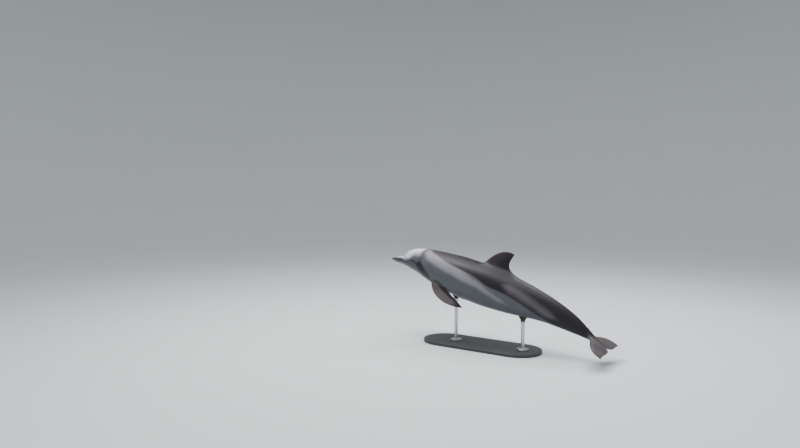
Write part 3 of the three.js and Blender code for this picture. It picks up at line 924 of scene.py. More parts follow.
def relax(points, edges, weight, rounds):
    """Moves vertices towards the mean of their neighbours, by their weight."""
    degree = np.bincount(edges.ravel(), minlength=len(points))
    for _ in range(rounds):
        total = np.zeros_like(points)
        for a, b in ((0, 1), (1, 0)):
            for axis in range(3):
                total[:, axis] += np.bincount(edges[:, a], points[edges[:, b], axis], len(points))
        mean = total / np.maximum(degree, 1)[:, None]
        points = points + (mean - points) * weight[:, None]
    return points


def build_skin(settings):
    """The points, tags and faces of the whole animal, fins and flukes included."""
    skin = Skin()
    rows = body_rows()
    turns = np.stack([body_turns(at) for at in rows])
    at = np.broadcast_to(rows[:, None], turns.shape)
    numbers = skin.add(skin_point(at, turns), at, lift_of(turns), BODY_PART)
    skin.fan(numbers[0], (0.0, -float(relief(0.0, 0.0)), 0.0), 0.0, 0.0, BODY_PART)

    holes = [
        add_eye_opening(skin, numbers, rows, settings, 1),
        add_eye_opening(skin, numbers, rows, settings, -1),
        add_blowhole(skin, numbers, rows, settings),
        add_fin(skin, numbers, rows, dorsal_point, **DORSAL_ROOT),
    ]
    for mirror in (1, -1):
        flipper = lambda *where, m=mirror: flipper_point(*where, m)
        holes.append(add_fin(skin, numbers, rows, flipper, **FLIPPER_ROOT))
    add_flukes(skin, numbers[-6:])

    cells = np.ones((len(rows) - 1, COLUMNS), bool)
    for i0, i1, j0, j1 in holes:
        for j in range(j0, j1):
            cells[i0:i1, j % COLUMNS] = False
    skin.grid(numbers, closed=True, keep=cells)

    points, tags = skin.cloud()
    faces = np.concatenate(skin.faces)
    edges = edges_of(faces)
    roots = np.zeros(len(points))
    for free in skin.joins:
        points = fair(points, edges, free)
        roots[free] = 0.5
    at, lift, part, span, _ = tags.T
    tips = (part >= DORSAL_PART) & (part <= FLUKE_PART) & (span > 0.97)
    crease = ease(lift, 0.02, 0.045) * ease(at, 135, 160) * (1 - ease(at, 310, 350))
    crease *= part == BODY_PART
    points = relax(points, edges, 0.3 * tips, 12)
    points = relax(points, edges, roots, 6)
    # the front of the dorsal fin runs out over the back more softly than the other roots
    front = DORSAL_FIN["at"]
    blade = 0.5 * (part == DORSAL_PART) * (1 - ease(span, 0.14, 0.34))
    soft = np.maximum(roots, blade) * (lift > 0.1) * (1 - ease(at, front, front + 110))
    points = relax(points, edges, soft, 12)
    points = relax(points, edges, np.maximum(0.4 * crease, 0.6 * roots), 3)

    used = np.unique(faces[faces >= 0])
    renumber = np.full(len(points) + 1, -1)
    renumber[used] = np.arange(len(used))
    return points[used], tags[used], renumber[faces]


# ---------------------------------------------------------------- meshes and objects


def box_of(node):
    """The two corners of a node of the solid model, in metres."""
    return tuple(np.array(corner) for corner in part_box(node))


def foot_of(node):
    """Where a node stands, in metres, and its half width and height in millimetres."""
    low, high = box_of(node)
    foot = (low + high) * (0.5, 0.5, 0) + low * (0, 0, 1)
    return foot, (high[0] - low[0]) / 2 / MM, (high[2] - low[2]) / MM


def frame_shift():
    """Where the beak tip of the shape code lies in the model's frame, in metres."""
    return sum(box_of("eye_left")) / 2 - body_point(*eye_middle()) * MM


def mesh_object(name, points, faces):
    """A smooth object at the origin; a face's corner of -1 is left out."""
    mesh = bpy.data.meshes.new(name)
    polygons = [tuple(int(v) for v in face if v >= 0) for face in faces]
    mesh.from_pydata([tuple(p) for p in points], [], polygons)
    mesh.shade_smooth()
    piece = bpy.data.objects.new(name, mesh)
    bpy.context.collection.objects.link(piece)
    return piece


def point_outwards(piece):
    work = bmesh.new()
    work.from_mesh(piece.data)
    bmesh.ops.recalc_face_normals(work, faces=work.faces)
    if work.calc_volume(signed=True) < 0:
        bmesh.ops.reverse_faces(work, faces=work.faces)
    work.to_mesh(piece.data)
    work.free()


def store(piece, name, values, kind="FLOAT"):
    """Keeps a value of each vertex for the materials."""
    values = np.asarray(values, np.float32)
    attribute = piece.data.attributes.new(name, kind, "POINT")
    attribute.data.foreach_set("vector" if kind == "FLOAT_VECTOR" else "value", values.ravel())


def finish_piece(piece, material, slot, *nodes):
    """Gives a piece its material, says what it rides on and hides the nodes that it replaces."""
    piece.data.materials.clear()
    piece.data.materials.append(material)
    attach(piece, "root")
    if nodes:
        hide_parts(*nodes)
    return piece


# ---------------------------------------------------------------- settings


def length_setting(name, description, default):
    return bpy.props.FloatProperty(
        name=name, description=description, default=default, unit="LENGTH"
    )


def colour_setting(name, description, default):
    return bpy.props.FloatVectorProperty(
        name=name, description=description, default=(*default, 1), subtype="COLOR", size=4
    )


class SkinSettings(bpy.types.PropertyGroup):
    """Folds and paint of the skin."""

    lid_length: length_setting("Lid length", "Length of the eye's opening", 0.026)
    lid_upper: length_setting("Upper lid", "Opening above the eye's middle", 0.0068)
    lid_lower: length_setting("Lower lid", "Opening below the eye's middle", 0.0056)
    lid_rim: length_setting("Lid rim", "Height of the lids' rim", 0.0013)
    blowhole_gap: length_setting("Blowhole gap", "Width of the blowhole's slit", 0.003)
    cape: colour_setting("Cape", "Colour of the back and the stock", (0.015, 0.012, 0.0145))
    nape: colour_setting("Nape", "Colour of the cape's front end", (0.041, 0.033, 0.038))
    flank: colour_setting("Flank", "Colour of the sides", (0.086, 0.089, 0.104))
    # the blaze is partly a real pale blaze and partly painted light: the upper flank under the cape
    # made paler as if lit from above
    blaze_and_painted_light: colour_setting(
        "Blaze", "Colour of the shoulder and the streak under the cape", (0.235, 0.226, 0.242)
    )
    belly: colour_setting("Belly", "Colour of throat and belly", (0.165, 0.172, 0.190))
    # the melon colour is partly the forehead's own pale tone and partly a painted highlight of
    # light from above on the forehead and the beak's ridge
    melon: colour_setting(
        "Melon", "Colour of the forehead and the beak's ridge", (0.60, 0.58, 0.59)
    )
    limb: colour_setting("Limb", "Colour of flippers and flukes", (0.120, 0.097, 0.101))
    streak: colour_setting("Streak", "Colour of the faint band on the stock", (0.105, 0.094, 0.104))
    # the stripe colour also paints shade in the melon's crease and at the flippers' roots
    stripe: colour_setting(
        "Stripe", "Colour of the eye patch and the stripes from it", (0.013, 0.012, 0.015)
    )


class EyeSettings(bpy.types.PropertyGroup):
    """The glass eyes."""

    iris: colour_setting("Iris", "Colour of the iris", (0.020, 0.009, 0.005))


class StandSettings(bpy.types.PropertyGroup):
    """The display stand."""

    screws: bpy.props.IntProperty(
        name="Screws", description="Screws in each flange", default=4, min=2
    )
    screw_circle: length_setting(
        "Screw circle", "Distance of the screws from the rod's middle", 0.041
    )
    line_inset: length_setting("Line inset", "Distance of the cut line from the base's edge", 0.022)
    line_depth: length_setting("Line depth", "Depth of the cut line in the base", 0.0016)
    paint: colour_setting("Paint", "Colour of the base", (0.03, 0.032, 0.036))


class StageSettings(bpy.types.PropertyGroup):
    """Floor, light and camera."""

    lens: bpy.props.FloatProperty(
        name="Lens", description="Focal length in millimetres", default=28.0
    )
    heading: bpy.props.FloatProperty(
        name="Heading",
        description="Where the camera looks, from -X towards -Y",
        default=math.radians(34.64),
        subtype="ANGLE",
    )
    tilt: bpy.props.FloatProperty(
        name="Tilt",
        description="How far the camera looks down",
        default=math.radians(2.82),
        subtype="ANGLE",
    )
    floor: colour_setting("Floor", "Colour of floor and backdrop", (0.62, 0.64, 0.65))


# ---------------------------------------------------------------- materials


def give(tree, node, values):
    """Sets a node's inputs by name or number; a value that is a socket is linked."""
    for name, value in values.items():
        if isinstance(value, bpy.types.NodeSocket):
            tree.links.new(value, node.inputs[name])
        else:
            node.inputs[name].default_value = value


def put(tree, kind, values=None, **options):
    """Adds a node with these inputs and options."""
    node = tree.nodes.new(kind)
    for name, value in options.items():
        setattr(node, name, value)
    give(tree, node, values or {})
    return node


def maths(tree, operation, *values, clamp=False):
    options = dict(operation=operation, use_clamp=clamp)
    return put(tree, "ShaderNodeMath", dict(enumerate(values)), **options).outputs[0]


def plus(tree, base, value, share, clamp=False):
    """The base with a share of a value added."""
    return maths(tree, "ADD", base, maths(tree, "MULTIPLY", value, share), clamp=clamp)


def distance(tree, a, b):
    """The root of two values' squares."""
    squares = (maths(tree, "POWER", value, 2.0) for value in (a, b))
    return maths(tree, "SQRT", maths(tree, "ADD", *squares))


def vector_maths(tree, operation, a, b):
    return put(tree, "ShaderNodeVectorMath", {0: a, 1: b}, operation=operation).outputs[0]


def mixed(tree, factor, a, b, blend="MIX"):
    """Two colours mixed; on this node the colours' sockets are numbers 6, 7 and 2."""
    options = dict(data_type="RGBA", blend_type=blend, clamp_factor=True)
    return put(tree, "ShaderNodeMix", {0: factor, 6: a, 7: b}, **options).outputs[2]


def toned(tree, paint, tone):
    """A colour made lighter or darker by a value near 1."""
    grey = put(tree, "ShaderNodeCombineXYZ", {"X": tone, "Y": tone, "Z": tone}).outputs[0]
    return mixed(tree, 1.0, paint, grey, "MULTIPLY")


def smoothed(tree, value, low, high):
    """Rises from 0 to 1 between two values, flat at both ends."""
    values = {"Value": value, "From Min": low, "From Max": high}
    node = put(tree, "ShaderNodeMapRange", values, interpolation_type="SMOOTHSTEP")
    return node.outputs["Result"]


def noise(tree, vector, scale, detail=0.0, roughness=0.5):
    values = {"Vector": vector, "Scale": scale, "Detail": detail, "Roughness": roughness}
    return put(tree, "ShaderNodeTexNoise", values).outputs


def raised(tree, height, deep, strength):
    """The normal of a surface with this relief."""
    values = {"Height": height, "Distance": deep, "Strength": strength}
    return put(tree, "ShaderNodeBump", values).outputs[0]


def attribute(tree, name, output="Fac"):
    return put(tree, "ShaderNodeAttribute", attribute_name=name).outputs[output]


def object_place(tree):
    return put(tree, "ShaderNodeTexCoord").outputs["Object"]


def new_group(name, inputs, outputs, tree_kind="ShaderNodeTree"):
    """A node group with these sockets; returns it with what it is given and what it gives."""
    tree = bpy.data.node_groups.new(name, tree_kind)
    for label, kind, default in inputs:
        socket = tree.interface.new_socket(label, in_out="INPUT", socket_type=kind)
        if default is not None:
            socket.default_value = default
    for label, kind in outputs:
        tree.interface.new_socket(label, in_out="OUTPUT", socket_type=kind)
    return tree, tree.nodes.new("NodeGroupInput").outputs, tree.nodes.new("NodeGroupOutput").inputs


def mottle_group():
    """Soft clouds of two sizes, from about -1 to 1."""
    if "Mottle" in bpy.data.node_groups:
        return bpy.data.node_groups["Mottle"]
    tree, given, result = new_group(
        "Mottle",
        [("Vector", "NodeSocketVector", None), ("Scale", "NodeSocketFloat", 6.0)],
        [("Clouds", "NodeSocketFloat"), ("Fine", "NodeSocketFloat")],
    )
    coarse = noise(tree, given["Vector"], given["Scale"], 5.0, 0.55)
    fine = noise(tree, given["Vector"], maths(tree, "MULTIPLY", given["Scale"], 9.0), 3.0, 0.6)
    for source, target in ((coarse, "Clouds"), (fine, "Fine")):
        centred = maths(tree, "MULTIPLY_ADD", source["Fac"], 3.2, -1.6)
        tree.links.new(centred, result[target])
    return tree


def scratch_group():
    """Fine marks along the first coordinate, short and sparse, as a mask from 0 to 1."""
    if "Scratches" in bpy.data.node_groups:
        return bpy.data.node_groups["Scratches"]
    tree, given, result = new_group(
        "Scratches",
        [
            ("Vector", "NodeSocketVector", None),
            ("Along", "NodeSocketFloat", 9.0),
            ("Across", "NodeSocketFloat", 330.0),
            ("Cover", "NodeSocketFloat", 0.35),
        ],
        [("Mask", "NodeSocketFloat")],
    )
    vector, along = given["Vector"], given["Along"]
    stretch = put(tree, "ShaderNodeCombineXYZ", {"X": along, "Y": given["Across"], "Z": along})
    bent = vector_maths(tree, "MULTIPLY", noise(tree, vector, 1.6)["Color"], (0.0, 0.06, 0.06))
    moved = vector_maths(tree, "ADD", vector, bent)
    drawn = vector_maths(tree, "MULTIPLY", moved, stretch.outputs[0])
    thin = smoothed(tree, noise(tree, drawn, 1.0)["Fac"], 0.70, 0.76)
    patches = noise(tree, vector, 5.5, 2.0)["Fac"]
    where = smoothed(tree, maths(tree, "ADD", patches, given["Cover"]), 0.84, 0.96)
    tree.links.new(maths(tree, "MULTIPLY", thin, where), result["Mask"])
    return tree


def placed(tree, group, **values):
    """Uses a node group in a tree and returns what it gives."""
    return put(tree, "ShaderNodeGroup", values, node_tree=group).outputs


def new_material(name):
    material = bpy.data.materials.new(name)
    material.use_nodes = True
    tree = material.node_tree
    tree.nodes.clear()
    shader = tree.nodes.new("ShaderNodeBsdfPrincipled")
    output = tree.nodes.new("ShaderNodeOutputMaterial")
    tree.links.new(shader.outputs[0], output.inputs[0])
    return material, tree, shader


def skin_material(settings):
    material, tree, shader = new_material("Dolphin skin")
    flow = attribute(tree, "flow", "Vector")
    clouds = placed(tree, mottle_group(), Vector=object_place(tree), Scale=7.0)
    along = vector_maths(tree, "MULTIPLY", flow, (1.0, 6.5, 3.0))
    streaks = placed(tree, mottle_group(), Vector=along, Scale=4.5)
    marks = placed(tree, scratch_group(), Vector=flow, Along=8.0, Across=430.0, Cover=0.27)
    scratches = marks["Mask"]

    # the colours' edges are drawn out along the body, and a little cloudy
    cloudy = maths(tree, "MULTIPLY", clouds["Clouds"], 0.06)
    drift = maths(tree, "MULTIPLY_ADD", streaks["Clouds"], 0.10, cloudy)
    nape = mixed(tree, attribute(tree, "deep"), settings.nape, settings.cape)
    layers = (
        # field, soft edge on each side, colour, cover
        ("belly", 0.50, settings.belly, 0.9),
        # the blaze layer: partly a real pale blaze, partly painted light on the upper flank
        ("blaze_and_painted_light", 0.24, settings.blaze_and_painted_light, 0.85),
        # the melon layer: the forehead's pale tone with a painted highlight on top of the forehead
        # and the beak's ridge
        ("melon", 0.46, settings.melon, 0.95),
        ("cape", 0.14, nape, 0.96),
        ("streak", 0.34, settings.streak, 0.85),
        ("band", 0.30, settings.stripe, 0.48),
        ("limb", 0.30, settings.limb, 1.0),
        ("lip", 0.10, settings.stripe, 0.62),
        # the stripe layer also lays painted shade in the melon's crease and where the flippers meet
        # the body
        ("stripe", 0.09, settings.stripe, 0.88),
    )
    paint = settings.flank
    for field, edge, colour, cover in layers:
        value = maths(tree, "MULTIPLY_ADD", drift, min(1.0, edge * 4), attribute(tree, field))
        mask = maths(tree, "MULTIPLY", smoothed(tree, value, -edge, edge), cover)
        paint = mixed(tree, mask, paint, colour)
    tone = maths(tree, "MULTIPLY_ADD", clouds["Clouds"], 0.10, 1.0)
    tone = plus(tree, plus(tree, tone, clouds["Fine"], 0.07), streaks["Fine"], 0.05)
    paint = toned(tree, paint, tone)
    paint = mixed(tree, maths(tree, "MULTIPLY", scratches, 0.13), paint, (0.30, 0.29, 0.31, 1))
    # painted shade: a dark line in the mouth's groove, and the walls inside the eye and blowhole
    # openings darkened
    paint = mixed(tree, attribute(tree, "painted_shade"), paint, (0.008, 0.007, 0.009, 1))

    rough = maths(tree, "MULTIPLY_ADD", clouds["Clouds"], 0.035, 0.43)
    rough = plus(tree, plus(tree, rough, clouds["Fine"], 0.03), scratches, 0.12, clamp=True)
    height = plus(tree, maths(tree, "MULTIPLY", clouds["Clouds"], 0.5), clouds["Fine"], 0.10)
    height = maths(tree, "SUBTRACT", height, maths(tree, "MULTIPLY", scratches, 0.2))
    finish = {"Base Color": paint, "Roughness": rough, "Normal": raised(tree, height, 0.001, 0.5)}
    finish.update({"Specular IOR Level": 0.16, "Coat Weight": 0.05, "Coat Roughness": 0.25})
    give(tree, shader, finish)
    return material


def girth(at):
    """About how far it is round the body, in mm."""
    return np.pi * (TOP(at) + BOTTOM(at) + 2 * SIDE(at)) / 2


# the markings' edges and courses: how far along the animal, and turns up from its side
CAPE_EDGE = (
    (0, 0.40), (455, 0.262), (500, 0.205), (560, 0.172), (700, 0.118), (820, 0.098), (980, 0.084),
    (1090, 0.066), (1230, 0.036), (1400, 0.022), (1540, -0.009), (1706, -0.075), (1840, -0.13),
    (1960, -0.21), (2020, -0.29),
)
STREAK_LINE = (
    (1200, 0.100), (1350, 0.088), (1500, 0.070), (1650, 0.035), (1800, -0.015), (1950, -0.05),
)
BELLY_EDGE = (
    (0, -0.11), (120, -0.12), (330, -0.11), (480, -0.12), (640, -0.12), (900, -0.14),
    (1300, -0.16), (1600, -0.19), (1850, -0.27),
)
BLAZE_COURSE = (
    (484, 0.180), (520, 0.140), (600, 0.108), (738, 0.083), (931, 0.050), (1112, 0.016),
    (1279, -0.020), (1420, -0.058), (1620, -0.115),
)
# the bridle: partly a dark stripe from the eye to the melon's crease and partly painted shade in
# that crease
BRIDLE_AND_CREASE_SHADE = (
    (172, 0.145), (205, 0.090), (255, 0.054), (326, 0.030), (380, 0.020), (430, 0.010),
)
FLIPPER_STRIPE = ((440, 0.0), (500, -0.047), (556, -0.098), (606, -0.140))
# a dark line round the flipper's root, partly a dark band of the skin and partly painted shade
# where the flipper meets the body
FLIPPER_BAND_AND_ROOT_SHADE = (
    (612, -0.134), (626, -0.119), (655, -0.104), (694, -0.098), (735, -0.108), (775, -0.130),
    (805, -0.158),
)


def height_of(line):
    """A line's height up the side, for how far along the animal it is."""
    return profile_of(*zip(*line))


def off_path(at, lift, path):
    """Distance in mm to a course over the side, and how far along it, from 0 to 1."""
    x, y = at, lift * girth(at)
    stops = [(a, b * float(girth(a))) for a, b in path]
    best, place = np.full(at.shape, 1e9), np.zeros(at.shape)
    for k, ((ax, ay), (bx, by)) in enumerate(zip(stops[:-1], stops[1:])):
        dx, dy = bx - ax, by - ay
        t = np.clip(((x - ax) * dx + (y - ay) * dy) / (dx**2 + dy**2), 0, 1)
        off = np.hypot(x - ax - t * dx, y - ay - t * dy)
        place = np.where(off < best, (k + t) / (len(stops) - 1), place)
        best = np.minimum(off, best)
    return np.hypot(best, 9.0) - 6.0, place  # rounded along the course itself


def paint_fields(points, tags):
    """What the paint reads at each vertex: fields in decimetres, which are 0 on the edge
    of a marking and rise inwards, and masks from 0 to 1."""
    at, lift, part, span, share = tags.T
    arc = girth(at) / 100
    inner = part > (FLUKE_PART + INNER_PART) / 2
    fin_part = np.where(inner, BODY_PART, part)
    fluke = np.clip(fin_part / FLUKE_PART, 0, 1) * (at > 2100)
    flipper = np.clip(fin_part / FLIPPER_PART, 0, 1) * (lift < 0.1) * (at < 1400)
    dorsal = np.clip(fin_part / DORSAL_PART, 0, 1) * (lift > 0.15) * (at > 900) * (at < 1700)
    bare = fluke + flipper + dorsal  # none on the body, 1 on a fin
    fields = {}

    fields["cape"] = (lift - height_of(CAPE_EDGE)(at)) * arc * (0.5 + 0.5 * ease(at, 470, 760))
    on_fin = 0.25 + 0.6 * ease(share, 0.15, 0.9)
    fields["deep"] = ease(at, 540, 940) * (1 - dorsal) + on_fin * dorsal

    reach = ease(at, 1270, 1460) * (1 - ease(at, 1780, 2040))
    off = np.abs(lift - height_of(STREAK_LINE)(at)) * arc
    fields["streak"] = 0.74 * reach - 0.38 - off - bare
    fields["belly"] = (height_of(BELLY_EDGE)(at) - lift) * arc

    # a pale band under the cape, partly a real blaze and partly painted light on the upper flank
    off, place = off_path(at, lift, BLAZE_COURSE)
    wide = 0.36 + 0.10 * ease(place, 0.06, 0.3) - 0.36 * ease(place, 0.36, 0.8)
    wide -= 0.40 * ease(place, 0.8, 1.0)
    fields["blaze_and_painted_light"] = wide - off / 100 - bare

    # the forehead is pale, partly its own tone and partly a painted highlight of light from above,
    # so paler on top and greyer down its sides; the beak's ridge is the same, its pale top partly a
    # painted highlight
    slope = 1.4 - 0.6 * ease(at, 280, 390)
    rear = (402 + 18 * ease(lift, 0.12, 0.25) - at) / 85
    melon = np.minimum((lift - 0.036 - 0.094 * ease(at, 215, 370)) * arc * slope, rear)
    tip = 0.6 * (1 - ease(at, 4, 66)) * ease(lift, 0.02, 0.10) - 0.3
    ridge = np.maximum((lift - 0.105) * arc * 1.9, tip)
    fore = ease(at, 135, 215)
    fields["melon"] = ridge * (1 - fore) + melon * fore

    centre = 436 - 90 * (lift - 0.02) + 30 * ease(lift, 0.14, 0.25)
    band = 0.20 - 0.03 * ease(lift, 0.12, 0.2) - np.abs(at - centre) / 100
    fields["band"] = band - 0.6 * (1 - ease(lift, -0.02, 0.05)) - bare

    fields["limb"] = np.maximum(flipper, 0.54 * fluke) - 0.5
    up = section_point(at, lift)[1]
    above = up - mouth_height(at)
    lip = 0.17 - np.abs(above - 12 - 4 * ease(at, 60, 200)) / 100
    fields["lip"] = lip - 0.5 * ease(at, 250, 330) - 0.3 * (1 - ease(at, 10, 22)) - bare

    patch = 0.22 * (1 - np.hypot((at - 438) / 52, (up - EYE["up"] + 2) / 27))
    marks = np.maximum(patch, -0.2)
    for course, wide, more, fall in (
        # course, field along its middle at the start, how much more at the end, fall beside it
        # the bridle, partly a stripe and partly painted shade in the melon's crease
        (BRIDLE_AND_CREASE_SHADE, 0.02, 0.08, 0.9),
        (FLIPPER_STRIPE, 0.24, 0.08, 0.7),
        # the line round the flipper's root, partly a dark band and partly painted shade
        (FLIPPER_BAND_AND_ROOT_SHADE, 0.13, 0.0, 0.5),
    ):
        off, place = off_path(at, lift, course)
        marks = np.maximum(marks, wide + more * place - fall * off / 100)
    front, rear = 1 - ease(share, 0.01, 0.05), ease(share, 0.55, 0.85)
    edge = np.maximum.reduce([rear, ease(span, 0.70, 0.95), front])
    front, rear = 1 - ease(share, 0.03, 0.10), 0.75 * ease(share, 0.95, 1.0)
    hem = np.maximum.reduce([front, 0.8 * ease(span, 0.86, 1.0), rear])
    marks = marks * (1 - np.clip(bare, 0, 1)) + (0.22 * edge - 0.10) * flipper
    marks = marks + (0.25 * hem - 0.13) * fluke
    fields["stripe"] = marks + (0.13 * ease(share, 0.1, 0.9) - 0.12) * dorsal

    # painted shade along the mouth's groove, and deep painted shade on the walls inside the
    # openings for the eyes and the blowhole
    shut = 1 - ease(at, MOUTH["gape"] - 12, MOUTH["gape"] + 4)
    painted_shade = 0.8 * bump(above, 1.5) * shut * (part < DORSAL_PART / 2)
    fields["painted_shade"] = np.where(inner & (at < 600), 0.92, painted_shade)
    # where a vertex lies on the skin: along, round, and a little of left and right
    out = np.where(bare > 0, np.maximum(clearance(points), 0), 0)
    flow = np.stack([at, (0.25 - lift) * girth(at) + out, 0.3 * points[:, 0]], -1) * MM
    return fields, flow


def eye_material(settings):
    material, tree, shader = new_material("Dolphin eye")
    gaze = put(tree, "ShaderNodeSeparateXYZ", {0: attribute(tree, "gaze", "Vector")}).outputs
    oval = (maths(tree, "DIVIDE", gaze[k], wide) for k, wide in ((1, 0.33), (2, 0.21)))
    threads = noise(tree, attribute(tree, "gaze", "Vector"), 14.0, 4.0)["Fac"]
    iris = mixed(tree, threads, (0.012, 0.007, 0.005, 1), settings.iris)
    off_pupil = smoothed(tree, distance(tree, *oval), 0.9, 1.1)
    colour = mixed(tree, off_pupil, (0.002, 0.002, 0.003, 1), iris)
    white = smoothed(tree, distance(tree, gaze[1], gaze[2]), 0.62, 0.72)
    colour = mixed(tree, white, colour, (0.035, 0.026, 0.024, 1))
    finish = {"Base Color": colour, "Roughness": 0.3, "Specular IOR Level": 0.1}
    finish.update({"Coat Weight": 0.5, "Coat Roughness": 0.02})
    give(tree, shader, finish)
    return material


def painted_material(settings):
    material, tree, shader = new_material("Stand paint")
    where = object_place(tree)
    clouds = placed(tree, mottle_group(), Vector=where, Scale=14.0)
    marks = placed(tree, scratch_group(), Vector=where, Along=9.0, Across=260.0, Cover=0.22)["Mask"]
    paint = toned(tree, settings.paint, maths(tree, "MULTIPLY_ADD", clouds["Fine"], 0.06, 1.0))
    paint = mixed(tree, maths(tree, "MULTIPLY", marks, 0.25), paint, (0.16, 0.16, 0.17, 1))
    rough = plus(tree, maths(tree, "MULTIPLY_ADD", clouds["Clouds"], 0.04, 0.46), marks, 0.1)
    grain = raised(tree, noise(tree, where, 900.0, 1.0)["Fac"], 0.0003, 0.35)
    give(tree, shader, {"Base Color": paint, "Roughness": rough, "Normal": grain})
    return material


def steel_material():
    material, tree, shader = new_material("Stand steel")
    where = object_place(tree)
    lines = noise(tree, vector_maths(tree, "MULTIPLY", where, (3.0, 3.0, 700.0)), 1.0, 3.0)["Fac"]
    clouds = placed(tree, mottle_group(), Vector=where, Scale=20.0)
    colour = mixed(tree, lines, (0.42, 0.43, 0.44, 1), (0.60, 0.61, 0.62, 1))
    rough = maths(tree, "MULTIPLY_ADD", lines, 0.14, 0.24)
    rough = plus(tree, rough, clouds["Clouds"], 0.03)
    finish = {"Base Color": colour, "Metallic": 1.0, "Roughness": rough}
    give(tree, shader, {**finish, "Normal": raised(tree, lines, 0.0002, 0.4)})
    return material


def rubber_material():
    material, tree, shader = new_material("Stand rubber")
    clouds = placed(tree, mottle_group(), Vector=object_place(tree), Scale=30.0)
    cover = maths(tree, "MULTIPLY_ADD", clouds["Clouds"], 0.25, 0.5)
    colour = mixed(tree, cover, (0.016, 0.016, 0.017, 1), (0.035, 0.035, 0.037, 1))
    rough = maths(tree, "MULTIPLY_ADD", clouds["Fine"], 0.05, 0.72)
    grain = raised(tree, clouds["Fine"], 0.0003, 0.5)
    give(tree, shader, {"Base Color": colour, "Roughness": rough, "Normal": grain})
    return material


# ---------------------------------------------------------------- the stand's shapes


ROUND_SIDES = 72  # sides of the stand's round shapes


def shell(rings, ends):
    """Points and faces of rings joined one to the next, and of a point at each end given."""
    skin = Skin()
    numbers = skin.add(rings)
    skin.grid(numbers, closed=True)
    for end, point in ends.items():
        skin.fan(numbers[end], point)
    return skin.cloud()[0], np.concatenate(skin.faces)


def turned(name, rings, sharp=40):
    """A closed solid from rings of points, given from bottom to top in metres."""
    rings = np.asarray(rings, float)
    piece = mesh_object(name, *shell(rings, {end: rings[end].mean(axis=0) for end in (0, -1)}))
    point_outwards(piece)
    piece.data.set_sharp_from_angle(angle=math.radians(sharp))
    return piece


def circles(outline, centre, sides=ROUND_SIDES):
    """Rings for an outline of (radius, height) in mm round an upright axis."""
    angles = np.linspace(0, 2 * np.pi, sides, endpoint=False)
    rings = [[(r * math.cos(a), r * math.sin(a), z) for a in angles] for r, z in outline]
    return np.asarray(rings) * MM + np.asarray(centre)


def rounded(radius, at, up, steps=6):
    """The quarter of a rounded edge that ends flat, as (how far in, height)."""
    angles = np.linspace(0, np.pi / 2, steps)
    return [(at + radius * (1 - math.cos(a)), up - radius * (1 - math.sin(a))) for a in angles]


def base_rings(settings):
    """The base plate with round ends; its outline is (how far in, height) in mm."""
    low, high = box_of("stand_base")
    half = (high - low)[:2] / 2
    foot, _, height = foot_of("stand_base")
    line, deep = settings.line_inset / MM, settings.line_depth / MM
    outline = [(2.5, 0.0), (0.8, 0.8), (0.0, 2.5)] + rounded(6.0, 0.0, height)
    outline += [(8.0, height), (line - 1.5, height), (line, height), (line + 0.7, height - deep)]
    outline += [(line + 2.6, height - deep), (line + 3.3, height), (line + 5.0, height)]
    outline += [(60.0, height)]
    angles = np.linspace(0, np.pi, 44)
    rings = []
    for inset, up in outline:
        radius, far = half[0] - inset * MM, half[1] - half[0]
        heights = np.full(len(angles), up * MM)
        end = np.stack([radius * np.cos(angles), far + radius * np.sin(angles), heights], -1)
        rings.append(np.concatenate([end, end * (-1, -1, 1)]))
    return np.asarray(rings) + foot


def flange_outline(wide, height):
    """A flange and the collar that the rod stands in, as (radius, height) in mm."""
    collar = (
        (31, 0), (29, 0), (26.4, 0.7), (24.8, 2.2), (24, 4.5), (24, 7.2), (23.3, 8.4), (22, 9),
        (20.5, 9), (17.6, 9), (17.2, 8.4),
    )
    outline = [(wide - 1.0, 0.0), (wide, 1.0)]
    outline += [(wide - inset, up) for inset, up in rounded(3.0, 0.0, height)]
    return outline + [(wide - 4, height)] + [(radius, height + up) for radius, up in collar]


def rod_outline(wide, height):
    """A rod with a cut ring near its top and a head under the cup."""
    head = (
        (0, 34), (0, 28.5), (-1.2, 28), (-1.2, 26.5), (0, 26), (0, 14), (1.5, 11.5), (5, 9.6),
        (6.4, 8.4), (7, 6.5), (7, 1.2), (6.4, 0.3), (5, 0),
    )
    outline = [(wide - 0.6, 0.0), (wide, 0.8), (wide, 12), (wide, height * 0.5)]
    return outline + [(wide + out, height - down) for out, down in head]


def belly_height(x, y):
    """Height of the animal's underside over points of the floor, in metres."""
    shift = frame_shift()
    low = np.full(np.shape(x), -700.0)  # mm, well under the animal
    high = np.interp((y - shift[1]) / MM, CENTRE_Y, CENTRE_Z)
    for _ in range(24):
        middle = (low + high) / 2
        outside = clearance(np.stack([(x - shift[0]) / MM, (y - shift[1]) / MM, middle], -1)) > 0
        low, high = np.where(outside, middle, low), np.where(outside, high, middle)
    return low * MM + shift[2]


